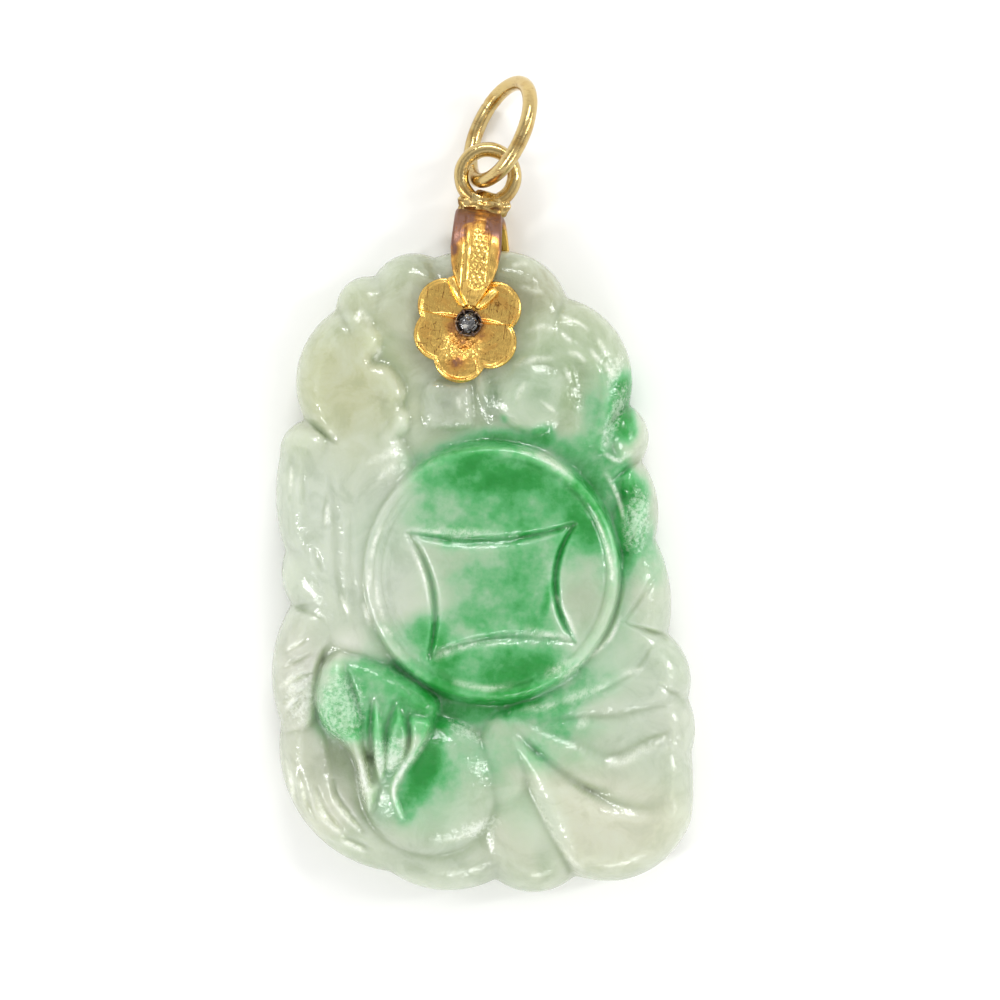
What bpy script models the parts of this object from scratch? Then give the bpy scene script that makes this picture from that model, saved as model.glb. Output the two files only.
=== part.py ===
"""A carved jade pendant, lying on its flat back.

A jade plaque carries a pierced coin, petals, leaves, a round fruit and a pouch in relief. A gold
strap folded over its top ends on a five-petal blossom, with an eye and a loose ring above it.
Metres, +Z up: X runs across the pendant, Y up towards its ring and Z out of its carved face.
The origin lies on the flat back, below the middle of the coin.
"""

import math

import bmesh
import bpy
import numpy as np
from mathutils import Matrix, Vector

# Plaque
PLAQUE_HEIGHT = 0.0420
PLAQUE_THICKNESS = 0.0076  # back to the crown of the highest leaf
PLAQUE_TRIANGLES = 6600
NET_STEPS = 112  # squares along each side of the net that is carved

# Gold strap, folded over the top edge
STRAP_WIDTH = 0.0033
STRAP_SHOULDER_WIDTH = 0.0029  # at the fold
STRAP_TIP_WIDTH = 0.0007
STRAP_THICKNESS = 0.0006
STRAP_BEVEL = 0.00012
STRAP_BACK_LEG = 0.0029  # straight length of the leg behind the stone
STRAP_SKEW = 0.00045  # the back leg lies this far to the right of the front leg
STRAP_LEAN = math.radians(-7.2)
LOOP_ROOM = 0.0022  # between the stone's top edge and the inside of the fold
SOLDER_WIDTH = 0.0027
SOLDER_HEIGHT = 0.0018
SOLDER_DEPTH = 0.0016

# Eye and loose ring
EYE_BORE = 0.0025
EYE_WIRE = 0.0010
RING_BORE = 0.0059
RING_WIRE = 0.0010
RING_TILT = math.radians(62.4)  # the loose ring's plane against the ground
RING_LEAN = math.radians(22)  # its lean to the right, seen from above
RING_HANG = math.radians(211)  # where in the eye it hangs, from the eye's right

# Blossom and its stone
BLOSSOM_REACH = 0.00365  # middle to petal end
BLOSSOM_THICKNESS = 0.00042
PETAL_RADIUS = 0.0017
PETAL_DISH = 0.00013  # a petal's rim stands this far above its middle
PETAL_LIFT = 0.0001  # the upper two petals lie this far over the lower three
STONE_DIAMETER = 0.00145
STONE_HEIGHT = 0.00055
COLLET_WALL = 0.0002
COLLET_HEIGHT = 0.0005

CLEARANCE = 0.0001  # between pieces that touch

# The carving is drawn on a plaque 42 mm high and 7.6 mm thick, and scaled to the real one.
DRAWN_HEIGHT = 42.0
DRAWN_THICKNESS = 7.6
PLAN = PLAQUE_HEIGHT / DRAWN_HEIGHT
RISE = PLAQUE_THICKNESS / DRAWN_THICKNESS

# Outline, clockwise from the top: where each scallop starts, and how far it swells
SCALLOPS = (
    (-0.90, 20.75, 1.42), (4.92, 17.98, 1.75), (9.01, 10.92, 0.85), (9.82, 7.28, 0.60),
    (10.70, 2.17, 0.55), (11.57, -4.10, 0.70), (12.89, -8.33, 0.36), (13.12, -11.83, 0.12),
    (13.15, -16.20, 0.95), (8.20, -20.30, 0.12), (5.45, -20.00, 0.98), (0.28, -20.18, 1.00),
    (-6.66, -19.71, 2.60), (-13.81, -9.94, 0.92), (-13.14, -2.12, 0.42), (-13.52, 1.30, 0.42),
    (-13.90, 7.60, 0.53), (-12.26, 9.96, 1.45), (-10.22, 17.20, 0.82), (-7.68, 19.38, 0.85),
    (-3.74, 20.61, 0.30),
)
MIDDLE = (-0.6, 0.0)
EDGE_ROUND = 1.9  # how far in from the outline the face curves down
BACK_ROUND = 1.2
FACE_RIM = 2.9  # height where the face's curve meets the side
BACK_RIM = 1.5
GROUND = 4.0
COIN_RADIUS = 8.36
COIN_RIM = 0.85
COIN_FIELD = 6.25
COIN_CROWN = 6.6
COIN_BEVEL = 0.3
COIN_WALL = 3.5  # steepness of the coin's edge
MOAT_FLOOR = 4.7  # sunk ground round the coin
SQUARE_WIDTH = 0.30  # half width of the cuts that draw the coin's square hole
SQUARE_DEPTH = 0.38
SQUARE = ((-5.45, 2.68, 0.8), (5.45, 3.23, 1.25), (5.52, -4.47, 0.8), (-4.08, -5.39, 1.0))

# Bail seat: where the blossom lies, the level under it and the hollow behind
SEAT_X = -1.49
SEAT_Y = 16.2
SEAT_LEVEL = 5.15
TOP_EDGE = 4.75  # from the blossom's middle up to the stone's edge

# Mounds: middle across and up, half width, half height, turn, foot, crown
MOUNDS = (
    # petals along the top, and the hollow ground behind the gold blossom
    (2.3, 18.3, 3.1, 2.7, -25, 3.9, 5.1), (-1.0, 18.7, 2.6, 2.5, 0, 3.9, 4.9),
    (-5.5, 18.1, 2.5, 3.0, 20, 3.9, 5.2), (-8.6, 17.0, 2.1, 2.7, 35, 3.9, 5.0),
    (-4.6, 15.0, 3.4, 3.0, 0, 3.6, 4.9),
    # blossom at the upper left
    (-10.0, 13.5, 3.3, 3.9, -12, 4.0, 6.1), (-8.3, 10.5, 3.0, 3.4, 0, 4.0, 6.2),
    (-10.9, 10.9, 2.1, 2.4, 0, 4.0, 6.0),
    # knob under the gold blossom
    (-3.0, 10.9, 1.75, 1.35, 0, 4.0, 5.1),
    # cloud at the upper right, in four steps
    (3.8, 12.5, 5.4, 5.7, 0, 3.9, 5.5), (3.5, 11.9, 4.75, 4.9, 0, 4.9, 5.95),
    (3.3, 11.4, 3.9, 3.7, 0, 5.3, 6.3), (2.9, 11.0, 3.1, 2.6, -8, 5.6, 6.5),
    # buds down the right edge
    (9.15, 9.1, 1.25, 2.0, -8, 3.9, 5.4), (9.6, 5.6, 1.2, 1.7, 0, 3.9, 5.2),
    (9.4, 3.2, 1.6, 2.2, -15, 3.9, 5.5),
    # lobes down the left edge
    (-12.0, -0.4, 2.2, 1.9, 0, 3.9, 5.3), (-12.3, -6.2, 2.4, 4.2, 5, 3.9, 5.7),
    # petal and lobe along the bottom
    (2.3, -17.2, 2.9, 4.3, 15, 3.9, 5.3), (-3.3, -18.3, 4.4, 2.9, 0, 3.9, 4.9),
    # round fruit, and the leaf's body over it
    (-3.9, -14.0, 4.75, 4.7, 0, 3.9, 7.0), (-6.7, -9.4, 2.8, 2.8, 0, 5.0, 6.5),
)

# Runs: foot, then points along the spine as across, up, half width, crown
RUNS = (
    # long lobe at the left, and the fold between it and the coin
    (3.9, ((-12.1, 8.0, 1.7, 5.6), (-11.9, 5.2, 2.1, 5.7), (-11.8, 2.7, 1.9, 5.5))),
    (3.9, ((-9.4, 4.6, 0.5, 5.4), (-10.0, 1.2, 0.8, 5.7), (-9.8, -1.4, 0.7, 5.7),
           (-9.1, -3.4, 0.4, 5.4))),
    # band round the lower left corner
    (3.9, ((-12.3, -11.2, 1.8, 5.0), (-12.0, -14.2, 2.1, 5.0), (-10.2, -16.9, 2.2, 4.9),
           (-7.2, -18.4, 1.9, 4.7))),
    # four leaves that fan out to the right from the foot of the coin
    (3.9, ((1.5, -9.2, 0.5, 5.0), (5.2, -7.9, 1.0, 5.2), (8.4, -4.8, 2.2, 5.6),
           (9.7, -1.8, 2.3, 5.6), (10.0, 0.9, 1.5, 5.1))),
    (3.9, ((1.5, -9.4, 0.4, 5.0), (5.0, -8.6, 0.8, 5.4), (8.0, -7.6, 1.4, 5.8),
           (11.2, -6.4, 2.2, 5.6))),
    (3.9, ((1.6, -9.8, 0.4, 5.0), (5.5, -10.4, 1.0, 5.4), (8.6, -10.7, 1.4, 5.6),
           (11.4, -10.2, 1.9, 5.5))),
    (3.9, ((1.3, -9.6, 0.35, 5.4), (3.2, -10.9, 0.7, 5.7), (5.6, -12.3, 1.25, 6.0),
           (8.6, -13.2, 1.4, 5.8), (11.9, -13.0, 1.2, 5.2))),
    # pouch at the lower right, from its neck to its belly
    (3.9, ((1.2, -10.6, 0.35, 5.4), (1.85, -11.9, 0.62, 5.8), (3.0, -13.2, 1.0, 6.1),
           (5.0, -15.25, 1.66, 6.5), (6.7, -16.7, 2.5, 6.8), (9.2, -17.1, 3.5, 6.9))),
    # leaf over the fruit: its bean-shaped lobe, its body and four fingers
    (4.6, ((-9.9, -6.8, 1.7, 7.5), (-10.0, -8.4, 1.65, 7.6), (-9.4, -10.3, 1.1, 7.4),
           (-8.7, -12.2, 0.75, 7.1), (-8.2, -14.0, 0.55, 6.8), (-7.95, -15.4, 0.2, 6.2))),
    (4.6, ((-9.4, -6.5, 1.3, 7.3), (-7.5, -7.6, 1.3, 7.0), (-5.6, -8.6, 1.2, 6.9),
           (-4.6, -9.4, 0.9, 6.8))),
    (4.6, ((-7.3, -8.3, 0.5, 7.2), (-7.35, -10.8, 0.5, 7.1), (-7.4, -14.4, 0.15, 6.2))),
    (4.6, ((-6.2, -8.5, 0.45, 7.2), (-6.5, -10.6, 0.42, 7.1), (-6.75, -12.7, 0.12, 6.5))),
    (4.6, ((-5.3, -9.0, 0.5, 7.1), (-5.45, -10.8, 0.45, 7.0), (-6.3, -12.8, 0.15, 6.6))),
    (4.6, ((-4.5, -9.3, 0.65, 7.1), (-4.6, -10.8, 0.5, 7.0), (-5.8, -12.6, 0.3, 6.9),
           (-6.3, -14.0, 0.25, 6.9), (-5.3, -16.0, 0.12, 6.6))),
)


def material(name, colour, roughness, metallic):
    made = bpy.data.materials.new(name)
    made.use_nodes = True
    shader = made.node_tree.nodes["Principled BSDF"]
    shader.inputs["Base Color"].default_value = (*colour, 1.0)
    shader.inputs["Roughness"].default_value = roughness
    shader.inputs["Metallic"].default_value = metallic
    return made


def new_object(name, points, faces, finish, sharp=35):
    """One named object from points in metres. Its faces are turned to point outwards."""
    mesh = bpy.data.meshes.new(name)
    mesh.from_pydata([tuple(point) for point in points], [], faces)
    build = bmesh.new()
    build.from_mesh(mesh)
    bmesh.ops.recalc_face_normals(build, faces=build.faces)
    build.to_mesh(mesh)
    build.free()
    mesh.shade_smooth()
    mesh.set_sharp_from_angle(angle=math.radians(sharp))
    mesh.materials.append(finish)
    made = bpy.data.objects.new(name, mesh)
    bpy.context.scene.collection.objects.link(made)
    return made


def helper(made):
    """Marks an object that only cuts or joins another."""
    made.hide_render = True
    made.display_type = "WIRE"
    return made


def boolean(target, tool, operation):
    change = target.modifiers.new(operation.title(), "BOOLEAN")
    change.operation = operation
    change.object = tool


def torus(name, radius, wire_radius, around, sides, finish):
    """A ring of wire about Z, centred on its object's origin."""
    points = []
    for i in range(around):
        turn = 2 * math.pi * i / around
        for j in range(sides):
            roll = 2 * math.pi * j / sides
            reach = radius + wire_radius * math.cos(roll)
            points.append((reach * math.cos(turn), reach * math.sin(turn),
                           wire_radius * math.sin(roll)))
    faces = [(i * sides + j, (i + 1) % around * sides + j,
              (i + 1) % around * sides + (j + 1) % sides, i * sides + (j + 1) % sides)
             for i in range(around) for j in range(sides)]
    return new_object(name, points, faces, finish, sharp=80)


# Outline of the plaque, as its reach from the middle in every direction


def scallop_points(start, end, swell, steps=16):
    """Points of a round arc that swells to the left of the way from start to end."""
    (ax, ay), (bx, by) = start, end
    chord = math.hypot(bx - ax, by - ay)
    half = 2 * math.atan(2 * swell / chord)
    for i in range(steps):
        turn = half * (2 * i / steps - 1)
        along = 0.5 + 0.5 * math.sin(turn) / math.sin(half)
        out = swell * (math.cos(turn) - math.cos(half)) / (1 - math.cos(half)) / chord
        yield (ax + (bx - ax) * along - (by - ay) * out,
               ay + (by - ay) * along + (bx - ax) * out)


def soften_ring(values, times):
    for _ in range(times):
        values = (np.roll(values, 1) + 2 * values + np.roll(values, -1)) / 4
    return values


def outline_reach(samples=720, soften=3):
    points = []
    for (ax, ay, swell), (bx, by, _) in zip(SCALLOPS, SCALLOPS[1:] + SCALLOPS[:1]):
        points.extend(scallop_points((ax, ay), (bx, by), swell))
    x, y = np.array(points).T - np.array(MIDDLE)[:, None]
    angles = np.linspace(0, 2 * math.pi, samples, endpoint=False)
    reach = np.interp(angles, np.arctan2(y, x) % (2 * math.pi), np.hypot(x, y), period=2 * math.pi)
    return angles, soften_ring(reach, soften)


ANGLES, REACH = outline_reach()
SMOOTH_REACH = soften_ring(REACH, 900)
SLANT = np.gradient(REACH, ANGLES)
FACING = REACH / np.hypot(REACH, SLANT)  # how squarely the outline faces the middle


def around(values, angle):
    return np.interp(angle, ANGLES, values, period=2 * math.pi)


def carving_net(steps):
    """A square net stretched over the outline: across, up, and distance in from the edge."""
    share = np.linspace(-1, 1, steps + 1)
    a, b = np.meshgrid(share, share, indexing="ij")
    wide = abs(a) >= abs(b)
    lead = np.where(wide, a, b)
    ratio = np.where(wide, b, a) / np.where(lead == 0, 1, lead)
    turn = np.where(wide, math.pi / 4 * ratio, math.pi / 2 - math.pi / 4 * ratio)
    turn = (turn + np.where(lead < 0, math.pi, 0)) % (2 * math.pi)
    ring = 1 - (1 - abs(lead)) ** 1.2
    reach, smooth = around(REACH, turn), around(SMOOTH_REACH, turn)
    radius = ring * (smooth + (reach - smooth) * ring**4)
    inset = (reach - radius) * around(FACING, turn)
    return MIDDLE[0] + radius * np.cos(turn), MIDDLE[1] + radius * np.sin(turn), inset


# Relief, as heights above the back in drawn millimetres

BELOW = -1.0


def dome(share, foot, crown, power=2.0):
    """Height of a round-backed form, where share is 0 on its spine and 1 at its foot."""
    inside = share < 1
    bulge = np.sqrt(np.clip(1 - np.clip(share, 0, 1) ** power, 0, 1))
    return np.where(inside, foot + (crown - foot) * bulge, BELOW)


def mound(x, y, across, up, half_width, half_height, turn, foot, crown):
    c, s = math.cos(math.radians(turn)), math.sin(math.radians(turn))
    dx, dy = x - across, y - up
    return dome(np.hypot((dx * c + dy * s) / half_width, (dy * c - dx * s) / half_height),
                foot, crown, 2.4)


def smooth_route(route, steps=5):
    """A curve through every point of the route, whatever values each point holds."""
    points = np.array(route, float)
    padded = np.vstack([2 * points[0] - points[1], points, 2 * points[-1] - points[-2]])
    curve = []
    for p0, p1, p2, p3 in zip(padded, padded[1:], padded[2:], padded[3:]):
        for t in np.arange(steps) / steps:
            curve.append(0.5 * (2 * p1 + (p2 - p0) * t + (2 * p0 - 5 * p1 + 4 * p2 - p3) * t**2
                                + (3 * p1 - p0 - 3 * p2 + p3) * t**3))
    return curve + [points[-1]]


def beside(x, y, start, end):
    """Share of the way from start to end, and distance from that line."""
    way = end[:2] - start[:2]
    along = np.clip(((x - start[0]) * way[0] + (y - start[1]) * way[1]) / (way @ way), 0, 1)
    return along, np.hypot(x - start[0] - along * way[0], y - start[1] - along * way[1])


def run(x, y, foot, route):
    """A long form whose half width and crown change along its spine."""
    height = np.full_like(x, BELOW)
    curve = smooth_route(route)
    for start, end in zip(curve, curve[1:]):
        along, away = beside(x, y, start, end)
        half_width = start[2] + along * (end[2] - start[2])
        crown = start[3] + along * (end[3] - start[3])
        height = np.maximum(height, dome(away / half_width, foot, crown, 2.4))
    return height


def higher(a, b, blend=0.12):
    """The higher of two surfaces, with the corner between them rounded."""
    return (a + b + np.sqrt((a - b) ** 2 + blend**2)) / 2


def coin(x, y):
    radius = np.hypot(x, y)
    field = COIN_FIELD + 0.2 * (1 - (radius / COIN_RADIUS) ** 2)
    rim = dome(abs(radius - COIN_RADIUS + COIN_RIM / 2) / (COIN_RIM / 2), COIN_FIELD - 0.1,
               COIN_CROWN, 3)
    wall = COIN_CROWN + COIN_WALL * (COIN_RADIUS - COIN_BEVEL - radius)
    face = np.minimum(np.maximum(field, rim), wall)
    cut = np.zeros_like(x)
    for (ax, ay, sag), (bx, by, _) in zip(SQUARE, SQUARE[1:] + SQUARE[:1]):
        side = [np.array(p) for p in scallop_points((ax, ay), (bx, by), -sag, 10)]
        side.append(np.array((bx, by)))
        for start, end in zip(side, side[1:]):
            away = beside(x, y, start, end)[1]
            cut = np.maximum(cut, SQUARE_DEPTH * np.clip(1 - away / SQUARE_WIDTH, 0, 1))
    return face - cut


def bail_frame(x, y):
    """Across and up from the blossom's middle, along the leaning strap."""
    c, s = math.cos(STRAP_LEAN), math.sin(STRAP_LEAN)
    dx, dy = x - SEAT_X, y - SEAT_Y
    return dx * c + dy * s, dy * c - dx * s


def relief(x, y):
    """Height of the carved face, before its edge is rounded."""
    height = np.full_like(x, GROUND)
    for form in MOUNDS:
        height = higher(height, mound(x, y, *form))
    for foot, route in RUNS:
        height = higher(height, run(x, y, foot, route))
    radius = np.hypot(x, y)
    height = np.minimum(height, MOAT_FLOOR + 2.2 * np.clip(radius - COIN_RADIUS - 0.15, 0, None))
    height = higher(height, coin(x, y), 0.03)
    across, up = bail_frame(x, y)
    under = np.clip(np.hypot(across, np.minimum(up, 0)) - 4.1, 0, None)
    return np.minimum(height, SEAT_LEVEL + 1.5 * under)


def face_height(x, y, inset):
    height = relief(x, y)
    for _ in range(3):
        inner = height[1:-1, 1:-1]
        near = height[:-2, 1:-1] + height[2:, 1:-1] + height[1:-1, :-2] + height[1:-1, 2:]
        height[1:-1, 1:-1] = inner / 2 + near / 8
    fall = np.sqrt(1 - (1 - np.clip(inset / EDGE_ROUND, 0, 1)) ** 2)
    return FACE_RIM + (height - FACE_RIM) * fall


def seat_depth():
    """How far the hollow for the strap's back leg goes in, in drawn millimetres."""
    return (STRAP_THICKNESS + 4 * CLEARANCE) / RISE


def back_height(x, y, inset):
    rounded = BACK_RIM * (1 - np.sqrt(1 - (1 - np.clip(inset / BACK_ROUND, 0, 1)) ** 2))
    across, up = bail_frame(x, y)
    half = (STRAP_WIDTH / 2 + STRAP_SKEW + 5 * CLEARANCE) / PLAN
    start = leg_end() / PLAN - 0.4
    wall = np.clip((half - abs(across)) / 0.4, 0, 1) * np.clip((up - start) / 0.4, 0, 1)
    return np.maximum(rounded, seat_depth() * wall)


def square_ring(steps):
    """Indices of the net's rim, once round."""
    side = range(steps)
    return ([(i, 0) for i in side] + [(steps, j) for j in side]
            + [(steps - i, steps) for i in side] + [(0, steps - j) for j in side])


def make_plaque(finish):
    """Face and back share one net, and a band round the side joins them."""
    steps = NET_STEPS
    x, y, inset = carving_net(steps)
    levels = (face_height(x, y, inset), back_height(x, y, inset))
    points = [(px * PLAN, py * PLAN, pz * RISE) for level in levels
              for px, py, pz in zip(x.flat, y.flat, level.flat)]
    row = steps + 1
    back = row * row
    squares = [(i * row + j, (i + 1) * row + j, (i + 1) * row + j + 1, i * row + j + 1)
               for i in range(steps) for j in range(steps)]
    faces = squares + [tuple(back + corner for corner in square[::-1]) for square in squares]
    rim = [i * row + j for i, j in square_ring(steps)]
    faces += [(b, a, back + a, back + b) for a, b in zip(rim, rim[1:] + rim[:1])]
    plaque = new_object("jade_plaque", points, faces, finish, sharp=60)
    thin = plaque.modifiers.new("Fewer faces", "DECIMATE")
    thin.ratio = PLAQUE_TRIANGLES / (4 * steps * steps + 8 * steps)
    return plaque


# Places of the gold parts, in metres. Across and up are in the strap's own frame.


def seat_level():
    return SEAT_LEVEL * RISE


def blossom_back():
    return seat_level() + CLEARANCE


def petal_top():
    return blossom_back() + BLOSSOM_THICKNESS + PETAL_DISH + PETAL_LIFT


def front_leg_height():
    return petal_top() + CLEARANCE / 2 + STRAP_THICKNESS / 2


def back_leg_height():
    return 2 * CLEARANCE + STRAP_THICKNESS / 2


def fold_radius():
    return (front_leg_height() - back_leg_height()) / 2


def fold_height():
    return (front_leg_height() + back_leg_height()) / 2


def fold_middle():
    return TOP_EDGE * PLAN + LOOP_ROOM + STRAP_THICKNESS / 2 - fold_radius()


def leg_end():
    return fold_middle() - STRAP_BACK_LEG


def collet_radius():
    return STONE_DIAMETER / 2 + CLEARANCE / 2 + COLLET_WALL


def eye_radius():
    return (EYE_BORE + EYE_WIRE) / 2


def eye_up():
    fold_top = fold_middle() + fold_radius() + STRAP_THICKNESS / 2
    return fold_top + CLEARANCE + eye_radius() + EYE_WIRE / 2


def strap_width(share):
    """Width along the strap, from its tip on the blossom to the end of its back leg."""
    stations = (0.0, 0.10, 0.24, 0.42, 1.0)
    widths = (STRAP_TIP_WIDTH, 0.82 * STRAP_WIDTH, STRAP_WIDTH, STRAP_SHOULDER_WIDTH,
              STRAP_SHOULDER_WIDTH)
    return float(np.interp(share, stations, widths))


def strap_section(width):
    """A flat bar with bevelled edges, as (across, out of the bar)."""
    w, t, bevel = width / 2, STRAP_THICKNESS / 2, STRAP_BEVEL
    return [(-w, -t + bevel), (-w + bevel, -t), (w - bevel, -t), (w, -t + bevel),
            (w, t - bevel), (w - bevel, t), (-w + bevel, t), (-w, t - bevel)]


def strap_stations(leg_steps=5, fold_steps=12):
    """(up, height, direction out) along the strap's middle line, front tip to back end."""
    tip = collet_radius() + CLEARANCE
    stations = []
    for i in range(leg_steps):
        up = tip + (fold_middle() - tip) * i / leg_steps
        stations.append((up, front_leg_height(), math.pi / 2))
    for i in range(fold_steps + 1):
        turn = math.pi / 2 - math.pi * i / fold_steps
        stations.append((fold_middle() + fold_radius() * math.cos(turn),
                         fold_height() + fold_radius() * math.sin(turn), turn))
    stations.append((leg_end(), back_leg_height(), -math.pi / 2))
    return stations


def make_strap(finish):
    points = []
    stations = strap_stations()
    lengths = [0.0]
    for (up, high, _), (next_up, next_high, _) in zip(stations, stations[1:]):
        lengths.append(lengths[-1] + math.hypot(next_up - up, next_high - high))
    for (up, high, turn), length in zip(stations, lengths):
        share = length / lengths[-1]
        skew = STRAP_SKEW * np.interp(share, (0.3, 0.8), (0, 1))
        for across, out in strap_section(strap_width(share)):
            points.append((across + skew, up + out * math.cos(turn), high + out * math.sin(turn)))
    count = len(stations)
    faces = [(i * 8 + j, i * 8 + (j + 1) % 8, (i + 1) * 8 + (j + 1) % 8, (i + 1) * 8 + j)
             for i in range(count - 1) for j in range(8)]
    faces += [tuple(range(7, -1, -1)), tuple(range((count - 1) * 8, count * 8))]
    return new_object("strap_bail", points, faces, finish)


def make_solder(finish):
    """The blob that holds the eye on the fold, joined to the strap and hollowed by the eye."""
    build = bmesh.new()
    bmesh.ops.create_uvsphere(build, u_segments=14, v_segments=8, radius=0.5)
    mesh = bpy.data.meshes.new("solder")
    build.to_mesh(mesh)
    build.free()
    mesh.shade_smooth()
    mesh.materials.append(finish)
    solder = bpy.data.objects.new("solder", mesh)
    bpy.context.scene.collection.objects.link(solder)
    solder.scale = (SOLDER_WIDTH, SOLDER_HEIGHT, SOLDER_DEPTH)
    solder.location = (0, eye_up() - eye_radius() - EYE_WIRE / 2, fold_height())
    return helper(solder)


# Petals: where each points, seen from the face and measured from the strap's right, and
# how much longer it is than the rest. The upper two lie over the lower three.
PETALS = ((37, 0.0, 1), (150, 0.0, 1), (209, 0.0, 0), (263, 0.00025, 0), (326, -0.0001, 0))


def petal_reach(turn):
    """How far the blossom's edge lies from its middle in one direction."""
    best = 0.0
    for degrees, longer, _ in PETALS:
        middle = BLOSSOM_REACH + longer - PETAL_RADIUS
        apart = turn - math.radians(degrees)
        room = PETAL_RADIUS**2 - (middle * math.sin(apart)) ** 2
        if room > 0 and math.cos(apart) > 0:
            best = max(best, middle * math.cos(apart) + math.sqrt(room))
    return best


def petal_height(across, up):
    """Top of the blossom: each petal is a shallow dish, and the higher petal shows."""
    best = BLOSSOM_THICKNESS
    for degrees, longer, upper in PETALS:
        middle = BLOSSOM_REACH + longer - PETAL_RADIUS
        turn = math.radians(degrees)
        away = math.hypot(across - middle * math.cos(turn), up - middle * math.sin(turn))
        share = min(1.0, away / PETAL_RADIUS)
        if away <= PETAL_RADIUS * 1.02:
            best = max(best, BLOSSOM_THICKNESS + PETAL_DISH * share**3 + PETAL_LIFT * upper)
    return best


def make_blossom(finish, segments=50):
    """The flower plate with its collet. Rings of points run from the stone's seat to the
    petal ends and round to the flat back."""
    inner = STONE_DIAMETER / 2 + CLEARANCE / 2
    outer = collet_radius()
    collet_top = BLOSSOM_THICKNESS + COLLET_HEIGHT
    points = []
    for i in range(segments):
        turn = 2 * math.pi * i / segments
        edge = petal_reach(turn)
        ring = [(inner, BLOSSOM_THICKNESS), (inner, collet_top), (outer, collet_top)]
        for share in (0.0, 0.2, 0.45, 0.7, 0.9, 1.0):
            reach = outer + (edge - outer) * share
            ring.append((reach, petal_height(reach * math.cos(turn), reach * math.sin(turn))))
        ring.append((edge, 0.0))
        points += [(r * math.cos(turn), r * math.sin(turn), z) for r, z in ring]
        loops = len(ring)
    faces = [(i * loops + j, i * loops + j + 1, (i + 1) % segments * loops + j + 1,
              (i + 1) % segments * loops + j) for i in range(segments) for j in range(loops - 1)]
    faces.append(tuple(i * loops for i in range(segments)))
    faces.append(tuple(i * loops + loops - 1 for i in reversed(range(segments))))
    return new_object("blossom", points, faces, finish)


def make_stone(finish, sides=10):
    """A rose-cut stone: a flat base, a belt of facets and a low point."""
    radius = STONE_DIAMETER / 2
    rings = ((radius, 0.0), (radius, 0.25), (0.6 * radius, 0.75))
    points = []
    for level, (reach, share) in enumerate(rings):
        for i in range(sides):
            turn = 2 * math.pi * (i + 0.5 * (level // 2)) / sides
            points.append((reach * math.cos(turn), reach * math.sin(turn), share * STONE_HEIGHT))
    points.append((0.0, 0.0, STONE_HEIGHT))
    faces = [tuple(reversed(range(sides)))]
    for i in range(sides):
        follow = (i + 1) % sides
        faces.append((i, follow, sides + follow, sides + i))
        faces.append((sides + i, sides + follow, 2 * sides + i))
        faces.append((sides + follow, 2 * sides + follow, 2 * sides + i))
        faces.append((2 * sides + i, 2 * sides + follow, 3 * sides))
    return new_object("centre_stone", points, faces, finish, sharp=5)


def place(made, bail, up=0.0, height=0.0):
    """Hangs a piece on the bail's empty, up along the strap and above the ground."""
    made.parent = bail
    made.location = (made.location.x, made.location.y + up, made.location.z + height)


def ring_matrix(bail):
    """The loose ring: it hangs in the eye, leans to the right and touches the ground."""
    radius = (RING_BORE + RING_WIRE) / 2
    along = Vector((math.sin(RING_LEAN), math.cos(RING_LEAN), 0))
    side = Vector((math.cos(RING_LEAN), -math.sin(RING_LEAN), 0))
    rising = side * math.cos(RING_TILT) + Vector((0, 0, math.sin(RING_TILT)))
    eye = bail.matrix_world @ Vector((0, eye_up(), 0))
    hang = EYE_BORE / 2 - RING_WIRE / 2 / math.sin(RING_TILT) - CLEARANCE
    contact = eye + hang * Vector((math.cos(RING_HANG), math.sin(RING_HANG), 0))
    middle = contact + along * radius
    middle.z = radius * math.sin(RING_TILT) + RING_WIRE / 2
    turn = Matrix((along, rising, along.cross(rising))).transposed()
    return Matrix.Translation(middle) @ turn.to_4x4()


def main():
    for old in list(bpy.data.objects):
        bpy.data.objects.remove(old)

    jade = material("carved jade", (0.55, 0.66, 0.52), 0.15, 0.0)
    gold = material("yellow gold", (0.80, 0.52, 0.16), 0.30, 1.0)
    dark = material("dark grey stone", (0.10, 0.10, 0.11), 0.2, 0.0)

    make_plaque(jade)

    bail = bpy.data.objects.new("bail", None)
    bpy.context.scene.collection.objects.link(bail)
    bail.location = (SEAT_X * PLAN, SEAT_Y * PLAN, 0)
    bail.rotation_euler.z = STRAP_LEAN
    bpy.context.view_layer.update()

    strap = make_strap(gold)
    place(strap, bail)
    solder = make_solder(gold)
    place(solder, bail)
    room = helper(torus("eye room", eye_radius(), EYE_WIRE / 2 + CLEARANCE / 2, 32, 10, gold))
    place(room, bail, eye_up(), fold_height())
    boolean(strap, solder, "UNION")
    boolean(strap, room, "DIFFERENCE")

    eye = torus("bail_eye", eye_radius(), EYE_WIRE / 2, 28, 8, gold)
    place(eye, bail, eye_up(), fold_height())
    place(make_blossom(gold), bail, 0.0, blossom_back())
    place(make_stone(dark), bail, 0.0, blossom_back() + BLOSSOM_THICKNESS + CLEARANCE / 2)

    ring = torus("jump_ring", (RING_BORE + RING_WIRE) / 2, RING_WIRE / 2, 36, 10, gold)
    ring.matrix_world = ring_matrix(bail)


main()
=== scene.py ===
"""The look of a carved jade pendant with a gold bail, lying on its back on a pale floor.

Metres, +Z up: X runs across the pendant, Y up towards its ring and Z out of its carved face.
"""

import math

import bmesh
import bpy
import numpy as np
from mathutils import Matrix, Vector, noise


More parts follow.
